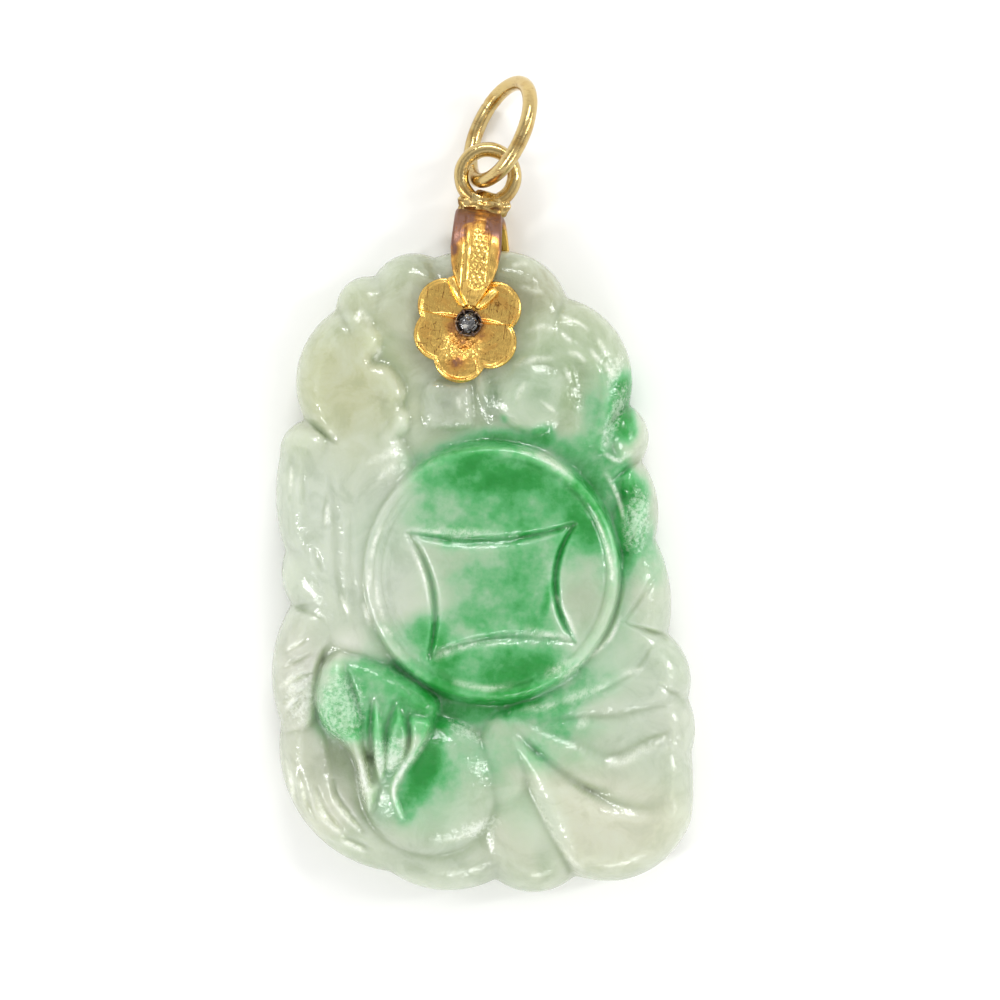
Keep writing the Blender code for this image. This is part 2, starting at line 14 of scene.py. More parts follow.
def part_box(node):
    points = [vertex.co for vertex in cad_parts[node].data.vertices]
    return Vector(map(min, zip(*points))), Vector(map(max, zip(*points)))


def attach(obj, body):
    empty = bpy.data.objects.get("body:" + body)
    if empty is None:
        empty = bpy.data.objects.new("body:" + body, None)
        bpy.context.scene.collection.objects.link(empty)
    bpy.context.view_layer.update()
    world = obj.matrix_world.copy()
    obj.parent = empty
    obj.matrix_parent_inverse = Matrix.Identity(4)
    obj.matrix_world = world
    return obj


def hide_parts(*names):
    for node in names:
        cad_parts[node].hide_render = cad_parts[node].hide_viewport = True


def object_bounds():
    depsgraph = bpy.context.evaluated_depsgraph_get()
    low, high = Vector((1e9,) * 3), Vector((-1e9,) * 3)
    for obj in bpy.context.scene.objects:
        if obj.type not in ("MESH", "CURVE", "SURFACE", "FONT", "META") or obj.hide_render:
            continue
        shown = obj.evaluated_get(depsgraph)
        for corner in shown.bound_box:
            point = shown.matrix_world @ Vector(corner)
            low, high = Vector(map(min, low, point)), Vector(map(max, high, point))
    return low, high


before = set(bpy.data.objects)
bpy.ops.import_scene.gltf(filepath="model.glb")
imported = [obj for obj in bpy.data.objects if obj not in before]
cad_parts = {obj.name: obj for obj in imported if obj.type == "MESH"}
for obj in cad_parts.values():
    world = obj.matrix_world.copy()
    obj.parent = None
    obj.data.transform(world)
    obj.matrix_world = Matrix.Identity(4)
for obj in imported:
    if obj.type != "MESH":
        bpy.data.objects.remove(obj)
cad_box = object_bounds()


# Jade plaque
# One slab of jadeite, sawn flat behind and carved in front with drills and wheels: a pierced
# coin, petals, a cloud, leaves, a round fruit and a pouch. It is polished all over, and the
# strap's two legs hold it at the top.

PLAQUE_LOW, PLAQUE_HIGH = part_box("jade_plaque")
DRAWN_LENGTH, DRAWN_THICKNESS = 42.1, 7.6
PLAN = (PLAQUE_HIGH.y - PLAQUE_LOW.y) / DRAWN_LENGTH  # metres for one drawn millimetre
RISE = PLAQUE_HIGH.z / DRAWN_THICKNESS
FACE_STEPS = 276
BACK_STEPS = FACE_STEPS // 2

# Outline, clockwise from the top: where each scallop starts, and how far it swells
SCALLOPS = (
    (-0.90, 20.75, 1.42), (4.92, 17.98, 1.75), (9.01, 10.92, 0.85), (9.82, 7.28, 0.60),
    (10.70, 2.17, 0.55), (11.57, -4.10, 0.70), (12.89, -8.33, 0.36), (13.12, -11.83, 0.12),
    (13.15, -16.20, 0.95), (8.20, -20.30, 0.12), (5.45, -20.00, 0.98), (0.28, -20.18, 1.00),
    (-6.66, -19.71, 2.60), (-13.81, -9.94, 0.92), (-13.14, -2.12, 0.42), (-13.52, 1.30, 0.42),
    (-13.90, 7.60, 0.53), (-12.26, 9.96, 1.45), (-10.22, 17.20, 0.82), (-7.68, 19.38, 0.85),
    (-3.74, 20.61, 0.30),
)
MIDDLE = (-0.6, 0.0)
HALF_WIDTH, HALF_HEIGHT = 14, 21  # of the plaque, roughly
EDGE_ROUND = 1.9  # how far in from the outline the face curves down
BACK_ROUND = 1.2
FACE_RIM = 2.9  # height where the face's curve meets the side
BACK_RIM = 1.5
GROUND = 4.75
BELOW = -1.0
COIN_RADIUS = 8.36
COIN_FIELD = 6.25
COIN_CROWN = 6.6
COIN_BEVEL = 0.3
COIN_WALL = 3.5
COIN_SWELL = 0.2  # how much higher its middle is than its edge
COIN_RIM_RISE, COIN_RIM_INSET, COIN_RIM_HALF = 0.12, 0.42, 0.26
COIN_LINE_HALF = 0.10
MOAT_FLOOR = 5.15  # round the coin, where the moat is deepest
MOAT_RISE = 0.85  # how much higher its floor is at the coin's left and foot
MOAT_SLOPE, MOAT_EASE = 2.2, 1.2  # how steep its outer side is, and how much less at the left
# Lines turned inside the rim: radius, depth, middle of the arc in degrees, half its length
COIN_LINES = ((7.45, 0.14, -30, 130), (7.62, 0.10, 178, 62), (7.10, 0.08, 175, 60),
              (6.60, 0.05, 190, 40), (8.0, 0.06, 165, 60))
SQUARE = ((-5.45, 2.68, 0.8), (5.45, 3.23, 1.35), (5.52, -4.47, 0.8), (-4.08, -5.39, 1.0))
# The square is cut twice, a little lower the second time: half width, depth, how far down
SQUARE_CUTS = ((0.26, 0.34, 0.0), (0.34, 0.16, 0.16))
SEAT = (-1.49, 16.2)  # the gold blossom's middle
SEAT_LEVEL = 5.12
SEAT_REACH = 3.95  # how far the level ground under the blossom and strap goes
LEG_HOLLOW, LEG_HOLLOW_HALF, LEG_HOLLOW_FOOT = 1.0, 2.6, 1.0  # depth, half width, lower end
LEG_HOLLOW_WALL = 0.4
SIDE_LEVELS = (2.45, 1.95)  # of the two rings of points round the side
SIDE_SWELL = 0.09
MM = 0.001
STRAP_LEAN = math.radians(-7.2)

# Mounds: middle across and up, half width, half height, turn, foot, crown, flatness on top
MOUNDS = (
    # petals along the top
    (2.3, 18.3, 3.1, 2.7, -25, 4.5, 5.15, 4), (-1.0, 18.7, 2.6, 2.5, 0, 4.5, 5.0, 4),
    (-5.5, 18.1, 2.5, 3.0, 20, 4.5, 5.18, 4), (-8.6, 17.0, 2.1, 2.7, 35, 4.5, 5.08, 4),
    # cloud at the upper right, and its boss
    (4.2, 12.6, 5.4, 6.0, 0, 4.5, 5.15, 5), (2.95, 11.4, 2.8, 2.35, -5, 5.0, 5.9, 3),
    # buds down the right edge
    (9.15, 9.1, 1.3, 2.0, -8, 4.4, 5.35, 3), (9.6, 5.6, 1.2, 1.7, 0, 4.4, 5.2, 3),
    (9.4, 3.2, 1.6, 2.2, -15, 4.4, 5.45, 3.5),
    # low ground at the left of the coin, and the lobes down that edge
    (-8.5, 1.6, 4.3, 9.0, 0, 4.6, 5.95, 3), (-12.0, -0.4, 2.6, 2.2, 0, 4.6, 5.5, 2),
    # petal and lobe along the bottom, and the ground between fruit and pouch and over the pouch
    (2.3, -17.2, 2.9, 4.3, 15, 4.4, 5.4, 3.5), (-3.3, -18.3, 4.4, 2.9, 0, 4.4, 5.1, 4),
    (0.9, -12.4, 1.9, 3.4, 0, 4.5, 5.7, 3), (12.0, -13.6, 5.6, 3.6, 0, 4.6, 6.15, 2.0),
    # round fruit, and the leaf's body over it
    (-3.9, -14.0, 4.75, 4.7, 0, 4.2, 6.55, 2.6), (-6.7, -9.4, 2.8, 2.8, 0, 5.0, 6.35, 4),
)

# Runs: foot, flatness on top, then points along the spine as across, up, half width, crown
RUNS = (
    # bright ground strip between the cloud and the bud
    (4.5, 2.4, ((8.9, 12.4, 0.55, 5.0), (8.35, 11.0, 0.8, 5.25), (7.8, 9.7, 0.85, 5.3),
                (7.2, 8.4, 0.7, 5.2))),
    # long lobe at the left
    (4.4, 4, ((-12.1, 8.0, 1.7, 5.45), (-11.9, 5.2, 2.1, 5.5), (-11.8, 2.7, 1.9, 5.5))),
    # band round the lower left corner
    (4.3, 3, ((-12.3, -11.2, 1.8, 5.2), (-12.0, -14.2, 2.1, 5.3), (-10.2, -16.9, 2.2, 5.2),
              (-7.2, -18.4, 1.9, 5.0))),
    # four leaves that fan out to the right from the foot of the coin
    (4.5, 4, ((1.5, -9.2, 0.5, 5.2), (5.2, -7.9, 1.1, 5.35), (8.4, -4.8, 2.4, 5.5),
              (9.7, -1.8, 2.5, 5.5), (10.0, 0.9, 1.5, 5.2))),
    (4.5, 4, ((1.5, -9.4, 0.5, 5.2), (5.0, -8.6, 0.9, 5.4), (8.0, -7.8, 1.7, 5.6),
              (11.2, -6.6, 2.4, 5.55))),
    (4.5, 4, ((1.6, -9.8, 0.5, 5.2), (5.5, -10.4, 1.3, 5.4), (8.6, -10.7, 1.8, 5.55),
              (11.4, -10.2, 2.1, 5.5))),
    (4.5, 3, ((1.3, -9.6, 0.35, 5.4), (3.2, -10.9, 0.8, 5.6), (5.6, -12.3, 1.4, 5.8),
              (8.6, -13.0, 1.7, 5.65), (11.9, -12.6, 1.6, 5.4))),
)

# Sheets, which end in a rounded step along an outline: foot, crown, width of the step, corners
SHEETS = (
    # blossom at the upper left, with a notch and small scallops down its right edge
    (4.5, 5.55, 0.85, (
        (-11.9, 15.9), (-10.9, 16.8), (-9.7, 17.1), (-8.6, 17.0), (-7.7, 16.3), (-7.1, 15.4),
        (-7.2, 14.5), (-7.7, 13.8), (-6.65, 13.45), (-5.85, 12.5), (-5.5, 11.6), (-5.7, 10.9),
        (-5.35, 10.2), (-5.4, 9.3), (-5.9, 8.8), (-6.2, 8.2), (-6.6, 7.6), (-7.3, 7.3),
        (-8.3, 7.0), (-9.4, 7.6), (-10.5, 8.4), (-11.4, 9.2), (-12.6, 9.9), (-14.2, 12.4),
        (-13.6, 14.7))),
    # knob under the gold blossom
    (4.6, 5.22, 0.80, ((-4.3, 12.2), (-2.9, 12.6), (-1.4, 12.4), (-1.2, 10.9), (-1.3, 9.5),
                      (-2.9, 9.3), (-4.3, 9.6), (-4.6, 10.9))),
    # two steps of the cloud, one above the other
    (4.8, 5.30, 0.80, (
        (0.5, 17.0), (3.0, 17.2), (4.85, 16.7), (5.9, 16.2), (6.9, 15.2), (7.6, 13.85),
        (7.95, 12.4), (7.9, 11.0), (7.5, 9.4), (6.9, 8.2), (5.4, 8.2), (2.5, 9.2), (-0.4, 10.6),
        (-1.0, 14.0))),
    (5.0, 5.48, 0.70, (
        (0.5, 15.6), (2.3, 15.75), (4.0, 15.95), (5.1, 15.5), (6.35, 14.7), (7.15, 13.4),
        (7.25, 12.0), (6.9, 10.2), (6.3, 8.9), (4.8, 8.9), (2.5, 9.7), (0.0, 10.8))),
    # pouch at the lower right, from its neck to its belly
    (5.1, 6.2, 1.3, (
        (1.4, -10.4), (2.6, -11.5), (4.6, -13.0), (6.2, -14.2), (7.7, -14.85), (9.5, -15.0),
        (11.5, -14.6), (13.4, -14.6), (14.2, -17.0), (12.6, -20.6), (9.5, -21.9), (6.6, -20.7),
        (5.2, -19.2), (4.2, -17.3), (3.5, -15.8), (2.7, -14.3), (2.0, -12.5), (1.3, -11.0))),
    # hatched lobe at the left
    (4.4, 5.65, 0.55, (
        (-14.2, -2.2), (-12.6, -2.35), (-11.35, -2.6), (-10.45, -3.15), (-10.1, -3.9),
        (-10.3, -4.7), (-10.9, -5.4), (-11.2, -6.6), (-11.3, -8.2), (-11.7, -9.9),
        (-13.0, -10.4), (-15.0, -10.0), (-15.4, -6.0))),
    # leaf over the fruit: its bean-shaped lobe with the first finger, its body, three fingers
    (4.9, 7.1, 1.15, (
        (-10.0, -5.2), (-9.3, -5.6), (-9.1, -6.5), (-8.8, -7.8), (-8.3, -9.0), (-8.1, -10.5),
        (-8.2, -11.6), (-7.95, -12.9), (-7.7, -13.5), (-7.2, -13.5), (-7.25, -14.4),
        (-7.87, -15.6), (-8.25, -15.0), (-8.57, -13.9), (-8.75, -12.7), (-9.2, -11.7),
        (-9.9, -10.9), (-10.6, -10.4), (-11.2, -9.5), (-11.5, -8.2), (-11.3, -6.8),
        (-10.9, -5.8))),
    (5.1, 6.45, 1.1, (
        (-10.2, -5.3), (-8.9, -5.3), (-7.9, -5.6), (-6.8, -6.1), (-5.3, -6.9), (-3.9, -7.9),
        (-3.4, -8.8), (-3.9, -9.9), (-4.7, -9.7), (-5.6, -9.4), (-6.1, -8.8), (-6.7, -9.3),
        (-7.5, -8.6), (-8.2, -9.6), (-9.4, -8.4))),
    (6.0, 6.8, 0.28, (
        (-7.45, -8.3), (-7.1, -9.6), (-6.95, -11.0), (-6.85, -12.4), (-7.1, -13.3),
        (-7.4, -13.0), (-7.65, -11.8), (-7.7, -10.2), (-7.6, -9.0))),
    (6.0, 6.85, 0.36, (
        (-5.95, -8.7), (-5.45, -10.2), (-5.4, -11.2), (-5.85, -12.3), (-6.7, -12.9),
        (-6.85, -12.1), (-6.7, -10.9), (-6.35, -9.6))),
    (6.0, 6.95, 0.24, (
        (-5.2, -9.3), (-3.85, -9.6), (-4.45, -11.0), (-5.15, -12.1), (-5.7, -12.85),
        (-6.05, -13.6), (-6.15, -14.4), (-5.65, -15.8), (-5.95, -15.8), (-6.4, -14.5),
        (-6.4, -13.5), (-5.9, -12.55), (-5.3, -11.4), (-5.2, -10.4))),
)

# Wheel cuts: half width, depth, then the way the cut runs
CUTS = (
    # hatching on the left lobe, and its longest line
    (0.22, 0.22, ((-13.4, -5.2), (-11.9, -4.3))), (0.22, 0.22, ((-13.6, -6.3), (-11.6, -5.2))),
    (0.24, 0.30, ((-13.9, -7.4), (-11.4, -6.4))), (0.22, 0.25, ((-13.7, -8.6), (-11.8, -7.4))),
    (0.28, 0.35, ((-13.5, -9.6), (-12.1, -7.9))),
    # lens-shaped cuts round the lower left corner
    (0.34, 0.35, ((-13.5, -12.0), (-13.2, -13.4), (-12.7, -15.2))),
    (0.34, 0.35, ((-12.5, -12.9), (-12.2, -14.6), (-11.4, -16.2))),
    (0.38, 0.40, ((-11.5, -13.8), (-10.9, -15.6), (-9.6, -16.9))),
    (0.30, 0.35, ((-10.4, -13.4), (-9.9, -14.9), (-8.2, -17.0))),
    (0.32, 0.35, ((-9.8, -17.2), (-7.8, -18.1))), (0.26, 0.30, ((-11.2, -17.3), (-9.4, -18.4))),
    # flutes on the long left lobe
    (0.35, 0.16, ((-13.0, 7.9), (-13.1, 6.0), (-13.0, 4.4))),
    (0.30, 0.14, ((-12.2, 6.6), (-12.3, 4.3))), (0.30, 0.16, ((-10.7, 5.3), (-10.9, 2.8))),
    (0.30, 0.14, ((-11.5, 1.6), (-11.0, 0.0))),
    # veins of the fanned leaves
    (0.24, 0.14, ((8.6, -3.3), (9.7, -1.7), (11.0, 0.2))),
    (0.24, 0.12, ((7.4, -3.6), (8.2, -2.0), (8.7, -0.6))),
    (0.32, 0.16, ((2.4, -8.9), (5.0, -8.5), (7.6, -7.5), (9.4, -6.3), (10.6, -4.5))),
    (0.30, 0.14, ((3.0, -9.8), (5.4, -9.5), (7.6, -9.4), (9.2, -9.8))),
    (0.40, 0.20, ((5.6, -11.2), (7.2, -11.9), (8.6, -11.7), (10.4, -10.8), (11.6, -10.3))),
    # the bean's fold, and creases that run up from between the leaf's fingers
    (0.22, 0.30, ((-9.3, -6.4), (-8.9, -7.7), (-8.5, -9.0))),
    (0.20, 0.36, ((-7.75, -8.0), (-7.85, -10.4), (-7.75, -12.6))),
    (0.18, 0.32, ((-6.15, -8.2), (-6.75, -9.8), (-6.9, -11.6))),
    (0.16, 0.26, ((-5.4, -9.0), (-5.3, -10.4), (-5.6, -12.0))),
    (0.12, 0.20, ((-5.75, -9.5), (-6.05, -10.9))),
    # hollow of the cloud beside its boss, the knob's dimple, faint folds left of the coin
    (0.95, 0.22, ((5.3, 14.0), (6.35, 12.4), (6.4, 10.5), (5.8, 8.8))),
    (0.36, 0.12, ((-3.4, 10.95), (-2.6, 10.95))),
    (0.55, 0.16, ((-10.5, 6.8), (-10.1, 3.0), (-10.0, 0.0), (-9.4, -3.2))),
    (0.40, 0.09, ((-9.1, 4.2), (-9.2, 0.8), (-8.8, -2.6))),
    (0.35, 0.10, ((-7.6, 16.9), (-7.2, 18.2), (-7.6, 19.0))),
    # nicks on the cloud's boss
    (0.12, 0.14, ((2.3, 12.4), (1.6, 11.0))), (0.12, 0.14, ((3.0, 11.1), (4.3, 10.2))),
    (0.12, 0.12, ((3.5, 9.7), (3.9, 9.3))),
    # ticks on the upper left blossom
    (0.12, 0.10, ((-12.2, 13.9), (-11.5, 13.8))), (0.14, 0.10, ((-12.0, 12.0), (-11.3, 11.8))),
    (0.12, 0.10, ((-12.0, 10.6), (-11.1, 10.5))), (0.12, 0.12, ((-7.6, 11.2), (-7.0, 11.8))),
    (0.10, 0.12, ((-7.2, 10.9), (-6.7, 11.3))), (0.12, 0.12, ((-7.0, 9.2), (-6.6, 9.8))),
    (0.12, 0.12, ((-7.6, 8.7), (-7.1, 9.1))),
    # hatching on the bud at the right edge
    (0.14, 0.20, ((9.0, 3.0), (8.9, 4.4))), (0.14, 0.22, ((9.6, 1.5), (10.0, 3.0), (10.5, 3.9))),
    (0.12, 0.18, ((9.1, 1.8), (9.5, 3.2))), (0.12, 0.18, ((10.1, 4.2), (10.3, 5.4))),
    # groove between the cloud and the buds
    (0.30, 0.20, ((8.45, 11.2), (8.0, 10.2), (7.7, 9.2), (7.3, 8.1))),
)

# Thin ridges left between two cuts, which catch the light, with a white highlight also painted
# along them: half width, height, the way
RIDGES = (
    # steps of the cloud
    (0.17, 0.12, ((2.2, 15.65), (3.4, 15.95), (4.5, 15.7))),
    (0.16, 0.12, ((4.5, 15.55), (5.3, 15.0))),
    (0.18, 0.14, ((1.4, 13.5), (2.7, 13.85), (4.1, 13.95))),
    (0.16, 0.14, ((4.75, 13.3), (5.15, 12.5))),
    (0.15, 0.07, ((4.4, 16.8), (5.6, 16.3), (6.4, 15.75))),
    (0.15, 0.10, ((6.4, 14.5), (7.2, 13.6))), (0.15, 0.08, ((6.9, 15.2), (7.5, 14.3))),
    (0.15, 0.10, ((7.35, 13.7), (7.9, 12.7))),
    (0.15, 0.10, ((4.9, 14.35), (5.6, 14.2), (6.1, 13.75))),
    (0.12, 0.08, ((3.1, 11.2), (3.9, 10.6), (4.3, 10.3))),
    (0.12, 0.08, ((1.5, 11.2), (2.3, 12.4))),
    # rim of the coin at the right, and its turned line
    (0.16, 0.12, ((1.6, 8.0), (3.6, 7.4), (5.4, 6.0))),
    (0.14, 0.10, ((6.6, 4.0), (7.5, 1.6), (7.9, -0.6))),
    (0.12, 0.10, ((-2.6, -7.0), (-0.5, -7.45), (1.4, -7.3))),
    (0.12, 0.10, ((3.4, -6.7), (5.3, -5.5))),
    (0.12, 0.08, ((-7.1, 3.0), (-7.6, 1.9), (-7.75, 0.8))),
    (0.12, 0.09, ((-7.9, 0.3), (-8.0, -1.2))),
    (0.10, 0.07, ((-7.45, -0.4), (-7.35, -1.8), (-6.9, -3.2))),
    (0.12, 0.08, ((-8.3, -1.9), (-7.8, -3.5))), (0.12, 0.08, ((-6.2, 7.2), (-7.4, 6.0))),
    (0.08, 0.06, ((-9.8, -1.4), (-9.2, -2.7))), (0.08, 0.06, ((-7.0, -3.4), (-6.4, -4.1))),
    (0.08, 0.06, ((-10.6, 4.1), (-10.65, 3.1))),
    # far sides of the square's cuts
    (0.14, 0.07, ((4.15, -1.4), (4.75, -2.5), (5.2, -3.5), (5.5, -4.4))),
    (0.14, 0.07, ((2.0, -3.75), (3.8, -4.0), (5.4, -4.3))),
    (0.16, 0.07, ((-3.9, -5.5), (-2.4, -4.95), (-0.9, -4.6), (1.6, -4.5))),
    (0.14, 0.06, ((-5.2, 2.85), (-2.5, 2.62), (0.6, 2.66))),
    (0.14, 0.06, ((-5.2, 1.7), (-4.6, 0.4), (-4.1, -1.2))),
    # leaves that fan out, and the groove's far side by the coin
    (0.18, 0.12, ((4.5, -8.35), (6.0, -7.85), (7.7, -7.15))),
    (0.12, 0.08, ((8.5, -6.6), (9.9, -6.2))), (0.12, 0.08, ((5.5, -9.9), (6.3, -9.6))),
    (0.20, 0.12, ((7.3, -12.45), (8.5, -12.2), (9.9, -11.45), (11.3, -10.7))),
    (0.14, 0.08, ((1.9, -8.9), (3.4, -8.75), (4.4, -8.5))),
    (0.14, 0.10, ((7.4, 6.6), (8.2, 5.0), (8.6, 3.4))),
    (0.16, 0.14, ((7.3, 7.8), (8.3, 7.3), (9.2, 8.0))),
    (0.14, 0.10, ((6.2, -5.6), (7.6, -4.4), (8.4, -2.8))),
    (0.12, 0.08, ((4.3, -6.9), (6.2, -5.6))),
    # facets round the lower left corner
    (0.26, 0.16, ((-13.45, -12.2), (-13.1, -13.6), (-12.95, -15.2))),
    (0.20, 0.12, ((-12.5, -13.4), (-12.1, -15.2))),
    (0.28, 0.18, ((-11.5, -14.2), (-10.8, -16.0), (-9.7, -17.0))),
    (0.20, 0.12, ((-10.4, -14.6), (-9.5, -15.8), (-8.5, -16.8))),
    (0.24, 0.14, ((-9.9, -17.4), (-8.2, -18.2))), (0.22, 0.12, ((-13.9, -7.5), (-12.6, -6.7))),
    (0.20, 0.12, ((-13.4, -8.9), (-12.7, -7.9))), (0.20, 0.10, ((-13.3, -5.0), (-12.3, -4.4))),
    # pouch's lower left rim
    (0.16, 0.16, ((2.1, -13.0), (3.2, -15.2), (4.6, -17.9), (6.1, -19.4))),
    # leaf over the fruit: its hooked edge and the fingers' spines
    (0.14, 0.14, ((-3.9, -9.8), (-4.6, -11.3), (-5.9, -13.0), (-6.35, -14.3), (-5.7, -15.8))),
    (0.10, 0.08, ((-0.2, -15.9), (-1.4, -16.9), (-3.2, -17.5))),
    # left blossom's notch and lower edge, and the long left lobe
    (0.12, 0.12, ((-7.1, 14.7), (-7.8, 13.7))),
    (0.14, 0.10, ((-5.7, 8.9), (-6.9, 7.6), (-8.0, 7.1))),
    (0.14, 0.06, ((-13.0, 7.0), (-13.1, 5.1))), (0.12, 0.08, ((-10.6, 4.5), (-10.8, 3.1))),
    # knob and petals along the top
    (0.12, 0.10, ((-2.2, 11.5), (-2.0, 10.6))), (0.14, 0.10, ((1.8, 18.6), (3.4, 18.3))),
    (0.12, 0.08, ((1.3, 20.0), (2.4, 20.2))), (0.12, 0.08, ((-8.7, 17.1), (-7.7, 16.2))),
)


def scallop_points(start, end, swell, steps=24):
    """Points of a round arc that swells to the left of the way from start to end."""
    (ax, ay), (bx, by) = start, end
    chord = math.hypot(bx - ax, by - ay)
    half = 2 * math.atan(2 * swell / chord)
    for i in range(steps):
        turn = half * (2 * i / steps - 1)
        along = 0.5 + 0.5 * math.sin(turn) / math.sin(half)
        out = swell * (math.cos(turn) - math.cos(half)) / (1 - math.cos(half)) / chord
        yield (ax + (bx - ax) * along - (by - ay) * out,
               ay + (by - ay) * along + (bx - ax) * out)


def soften_ring(values, times):
    for _ in range(times):
        values = (np.roll(values, 1) + 2 * values + np.roll(values, -1)) / 4
    return values


def outline_reach(samples=1440, soften=6):
    """How far the outline lies from the middle in every direction."""
    points = []
    for (ax, ay, swell), (bx, by, _) in zip(SCALLOPS, SCALLOPS[1:] + SCALLOPS[:1]):
        points.extend(scallop_points((ax, ay), (bx, by), swell))
    x, y = np.array(points).T - np.array(MIDDLE)[:, None]
    angles = np.linspace(0, 2 * math.pi, samples, endpoint=False)
    reach = np.interp(angles, np.arctan2(y, x) % (2 * math.pi), np.hypot(x, y), period=2 * math.pi)
    return angles, soften_ring(reach, soften)


ANGLES, REACH = outline_reach()
SMOOTH_REACH = soften_ring(REACH, 3600)
FACING = REACH / np.hypot(REACH, np.gradient(REACH, ANGLES))


def around(values, angle):
    return np.interp(angle, ANGLES, values, period=2 * math.pi)


def carving_net(steps):
    """A square net stretched over the outline: across, up, and distance in from the edge."""
    share = np.linspace(-1, 1, steps + 1)
    a, b = np.meshgrid(share, share, indexing="ij")
    wide = abs(a) >= abs(b)
    lead = np.where(wide, a, b)
    ratio = np.where(wide, b, a) / np.where(lead == 0, 1, lead)
    turn = np.where(wide, math.pi / 4 * ratio, math.pi / 2 - math.pi / 4 * ratio)
    turn = (turn + np.where(lead < 0, math.pi, 0)) % (2 * math.pi)
    ring = 1 - (1 - abs(lead)) ** 1.2
    reach, smooth = around(REACH, turn), around(SMOOTH_REACH, turn)
    radius = ring * (smooth + (reach - smooth) * ring**4)
    inset = (reach - radius) * around(FACING, turn)
    return MIDDLE[0] + radius * np.cos(turn), MIDDLE[1] + radius * np.sin(turn), inset


def dome(share, foot, crown, power):
    """Height of a round-backed form, where share is 0 on its spine and 1 at its foot."""
    bulge = np.sqrt(np.clip(1 - np.clip(share, 0, 1) ** power, 0, 1))
    return np.where(share < 1, foot + (crown - foot) * bulge, BELOW)


def mound(x, y, across, up, half_width, half_height, turn, foot, crown, power):
    c, s = math.cos(math.radians(turn)), math.sin(math.radians(turn))
    dx, dy = x - across, y - up
    return dome(np.hypot((dx * c + dy * s) / half_width, (dy * c - dx * s) / half_height),
                foot, crown, power)


def curve_through(points, steps):
    """A smooth curve from the second point up to the last but one, which it leaves out."""
    curve = []
    for p0, p1, p2, p3 in zip(points, points[1:], points[2:], points[3:]):
        for t in np.arange(steps) / steps:
            curve.append(0.5 * (2 * p1 + (p2 - p0) * t + (2 * p0 - 5 * p1 + 4 * p2 - p3) * t**2
                                + (3 * p1 - p0 - 3 * p2 + p3) * t**3))
    return curve


def smooth_route(route, steps=7):
    """A curve through every point of the route, whatever values each point holds."""
    points = np.array(route, float)
    padded = np.vstack([2 * points[0] - points[1], points, 2 * points[-1] - points[-2]])
    return curve_through(padded, steps) + [points[-1]]


def beside(x, y, start, end):
    """Share of the way from start to end, and distance from that line."""
    way = end[:2] - start[:2]
    along = np.clip(((x - start[0]) * way[0] + (y - start[1]) * way[1]) / (way @ way), 0, 1)
    return along, np.hypot(x - start[0] - along * way[0], y - start[1] - along * way[1])


def run(x, y, foot, power, route):
    """A long form whose half width and crown change along its spine."""
    height = np.full_like(x, BELOW)
    curve = smooth_route(route)
    for start, end in zip(curve, curve[1:]):
        along, away = beside(x, y, start, end)
        half_width = start[2] + along * (end[2] - start[2])
        crown = start[3] + along * (end[3] - start[3])
        height = np.maximum(height, dome(away / half_width, foot, crown, power))
    return height


def sheet(x, y, foot, crown, step, corners):
    """A flat form inside a closed smooth outline, with a quarter-round step at its edge."""
    points = np.array(corners, float)
    curve = curve_through(np.vstack([points[-1], points, points[:2]]), 4)
    low, high = points.min(0) - 1.0, points.max(0) + 1.0
    near = (x > low[0]) & (x < high[0]) & (y > low[1]) & (y < high[1])
    px, py = x[near], y[near]
    away, inside = np.full_like(px, 99.0), np.zeros(px.shape, bool)
    for start, end in zip(curve, curve[1:] + curve[:1]):
        away = np.minimum(away, beside(px, py, start, end)[1])
        crosses = (start[1] > py) != (end[1] > py)
        rise = end[1] - start[1] if end[1] != start[1] else 1e-9
        inside ^= crosses & (px < start[0] + (end[0] - start[0]) * (py - start[1]) / rise)
    height = np.full_like(x, BELOW)
    height[near] = dome(np.where(inside, 1 - away / step, 1.0), foot, crown, 2)
    return height


def wheel_cut(x, y, half_width, depth, route, taper=0.6):
    """Depth of a cut that a wheel leaves: round at the bottom and thinning to its ends."""
    sunk = np.zeros_like(x)
    curve = smooth_route(route, 5)
    count = len(curve) - 1
    side, end = abs(x) / HALF_WIDTH, abs(y) / HALF_HEIGHT
    corner = np.clip(1 - 4 * abs(side - end) / (side + end + 0.1), 0, 1)
    finest = 0.15 + 0.11 * corner  # the net is coarser where its rings turn a corner
    for i, (start, stop) in enumerate(zip(curve, curve[1:])):
        along, away = beside(x, y, start, stop)
        share = (i + along) / count
        size = np.clip(4 * share * (1 - share), 0, 1) ** taper
        width = np.maximum(half_width * size, finest)
        sunk = np.maximum(sunk, depth * size * np.clip(1 - (away / width) ** 2, 0, 1))
    return sunk


def higher(a, b, blend=0.12):
    """The higher of two surfaces, with the corner between them rounded."""
    return (a + b + np.sqrt((a - b) ** 2 + blend**2)) / 2


def square_sides(steps):
    """The ways of the four cuts that draw the coin's square hole, from the top one."""
    for (ax, ay, sag), (bx, by, _) in zip(SQUARE, SQUARE[1:] + SQUARE[:1]):
        side = [np.array(p) for p in scallop_points((ax, ay), (bx, by), -sag, steps)]
        yield side + [np.array((bx, by))]


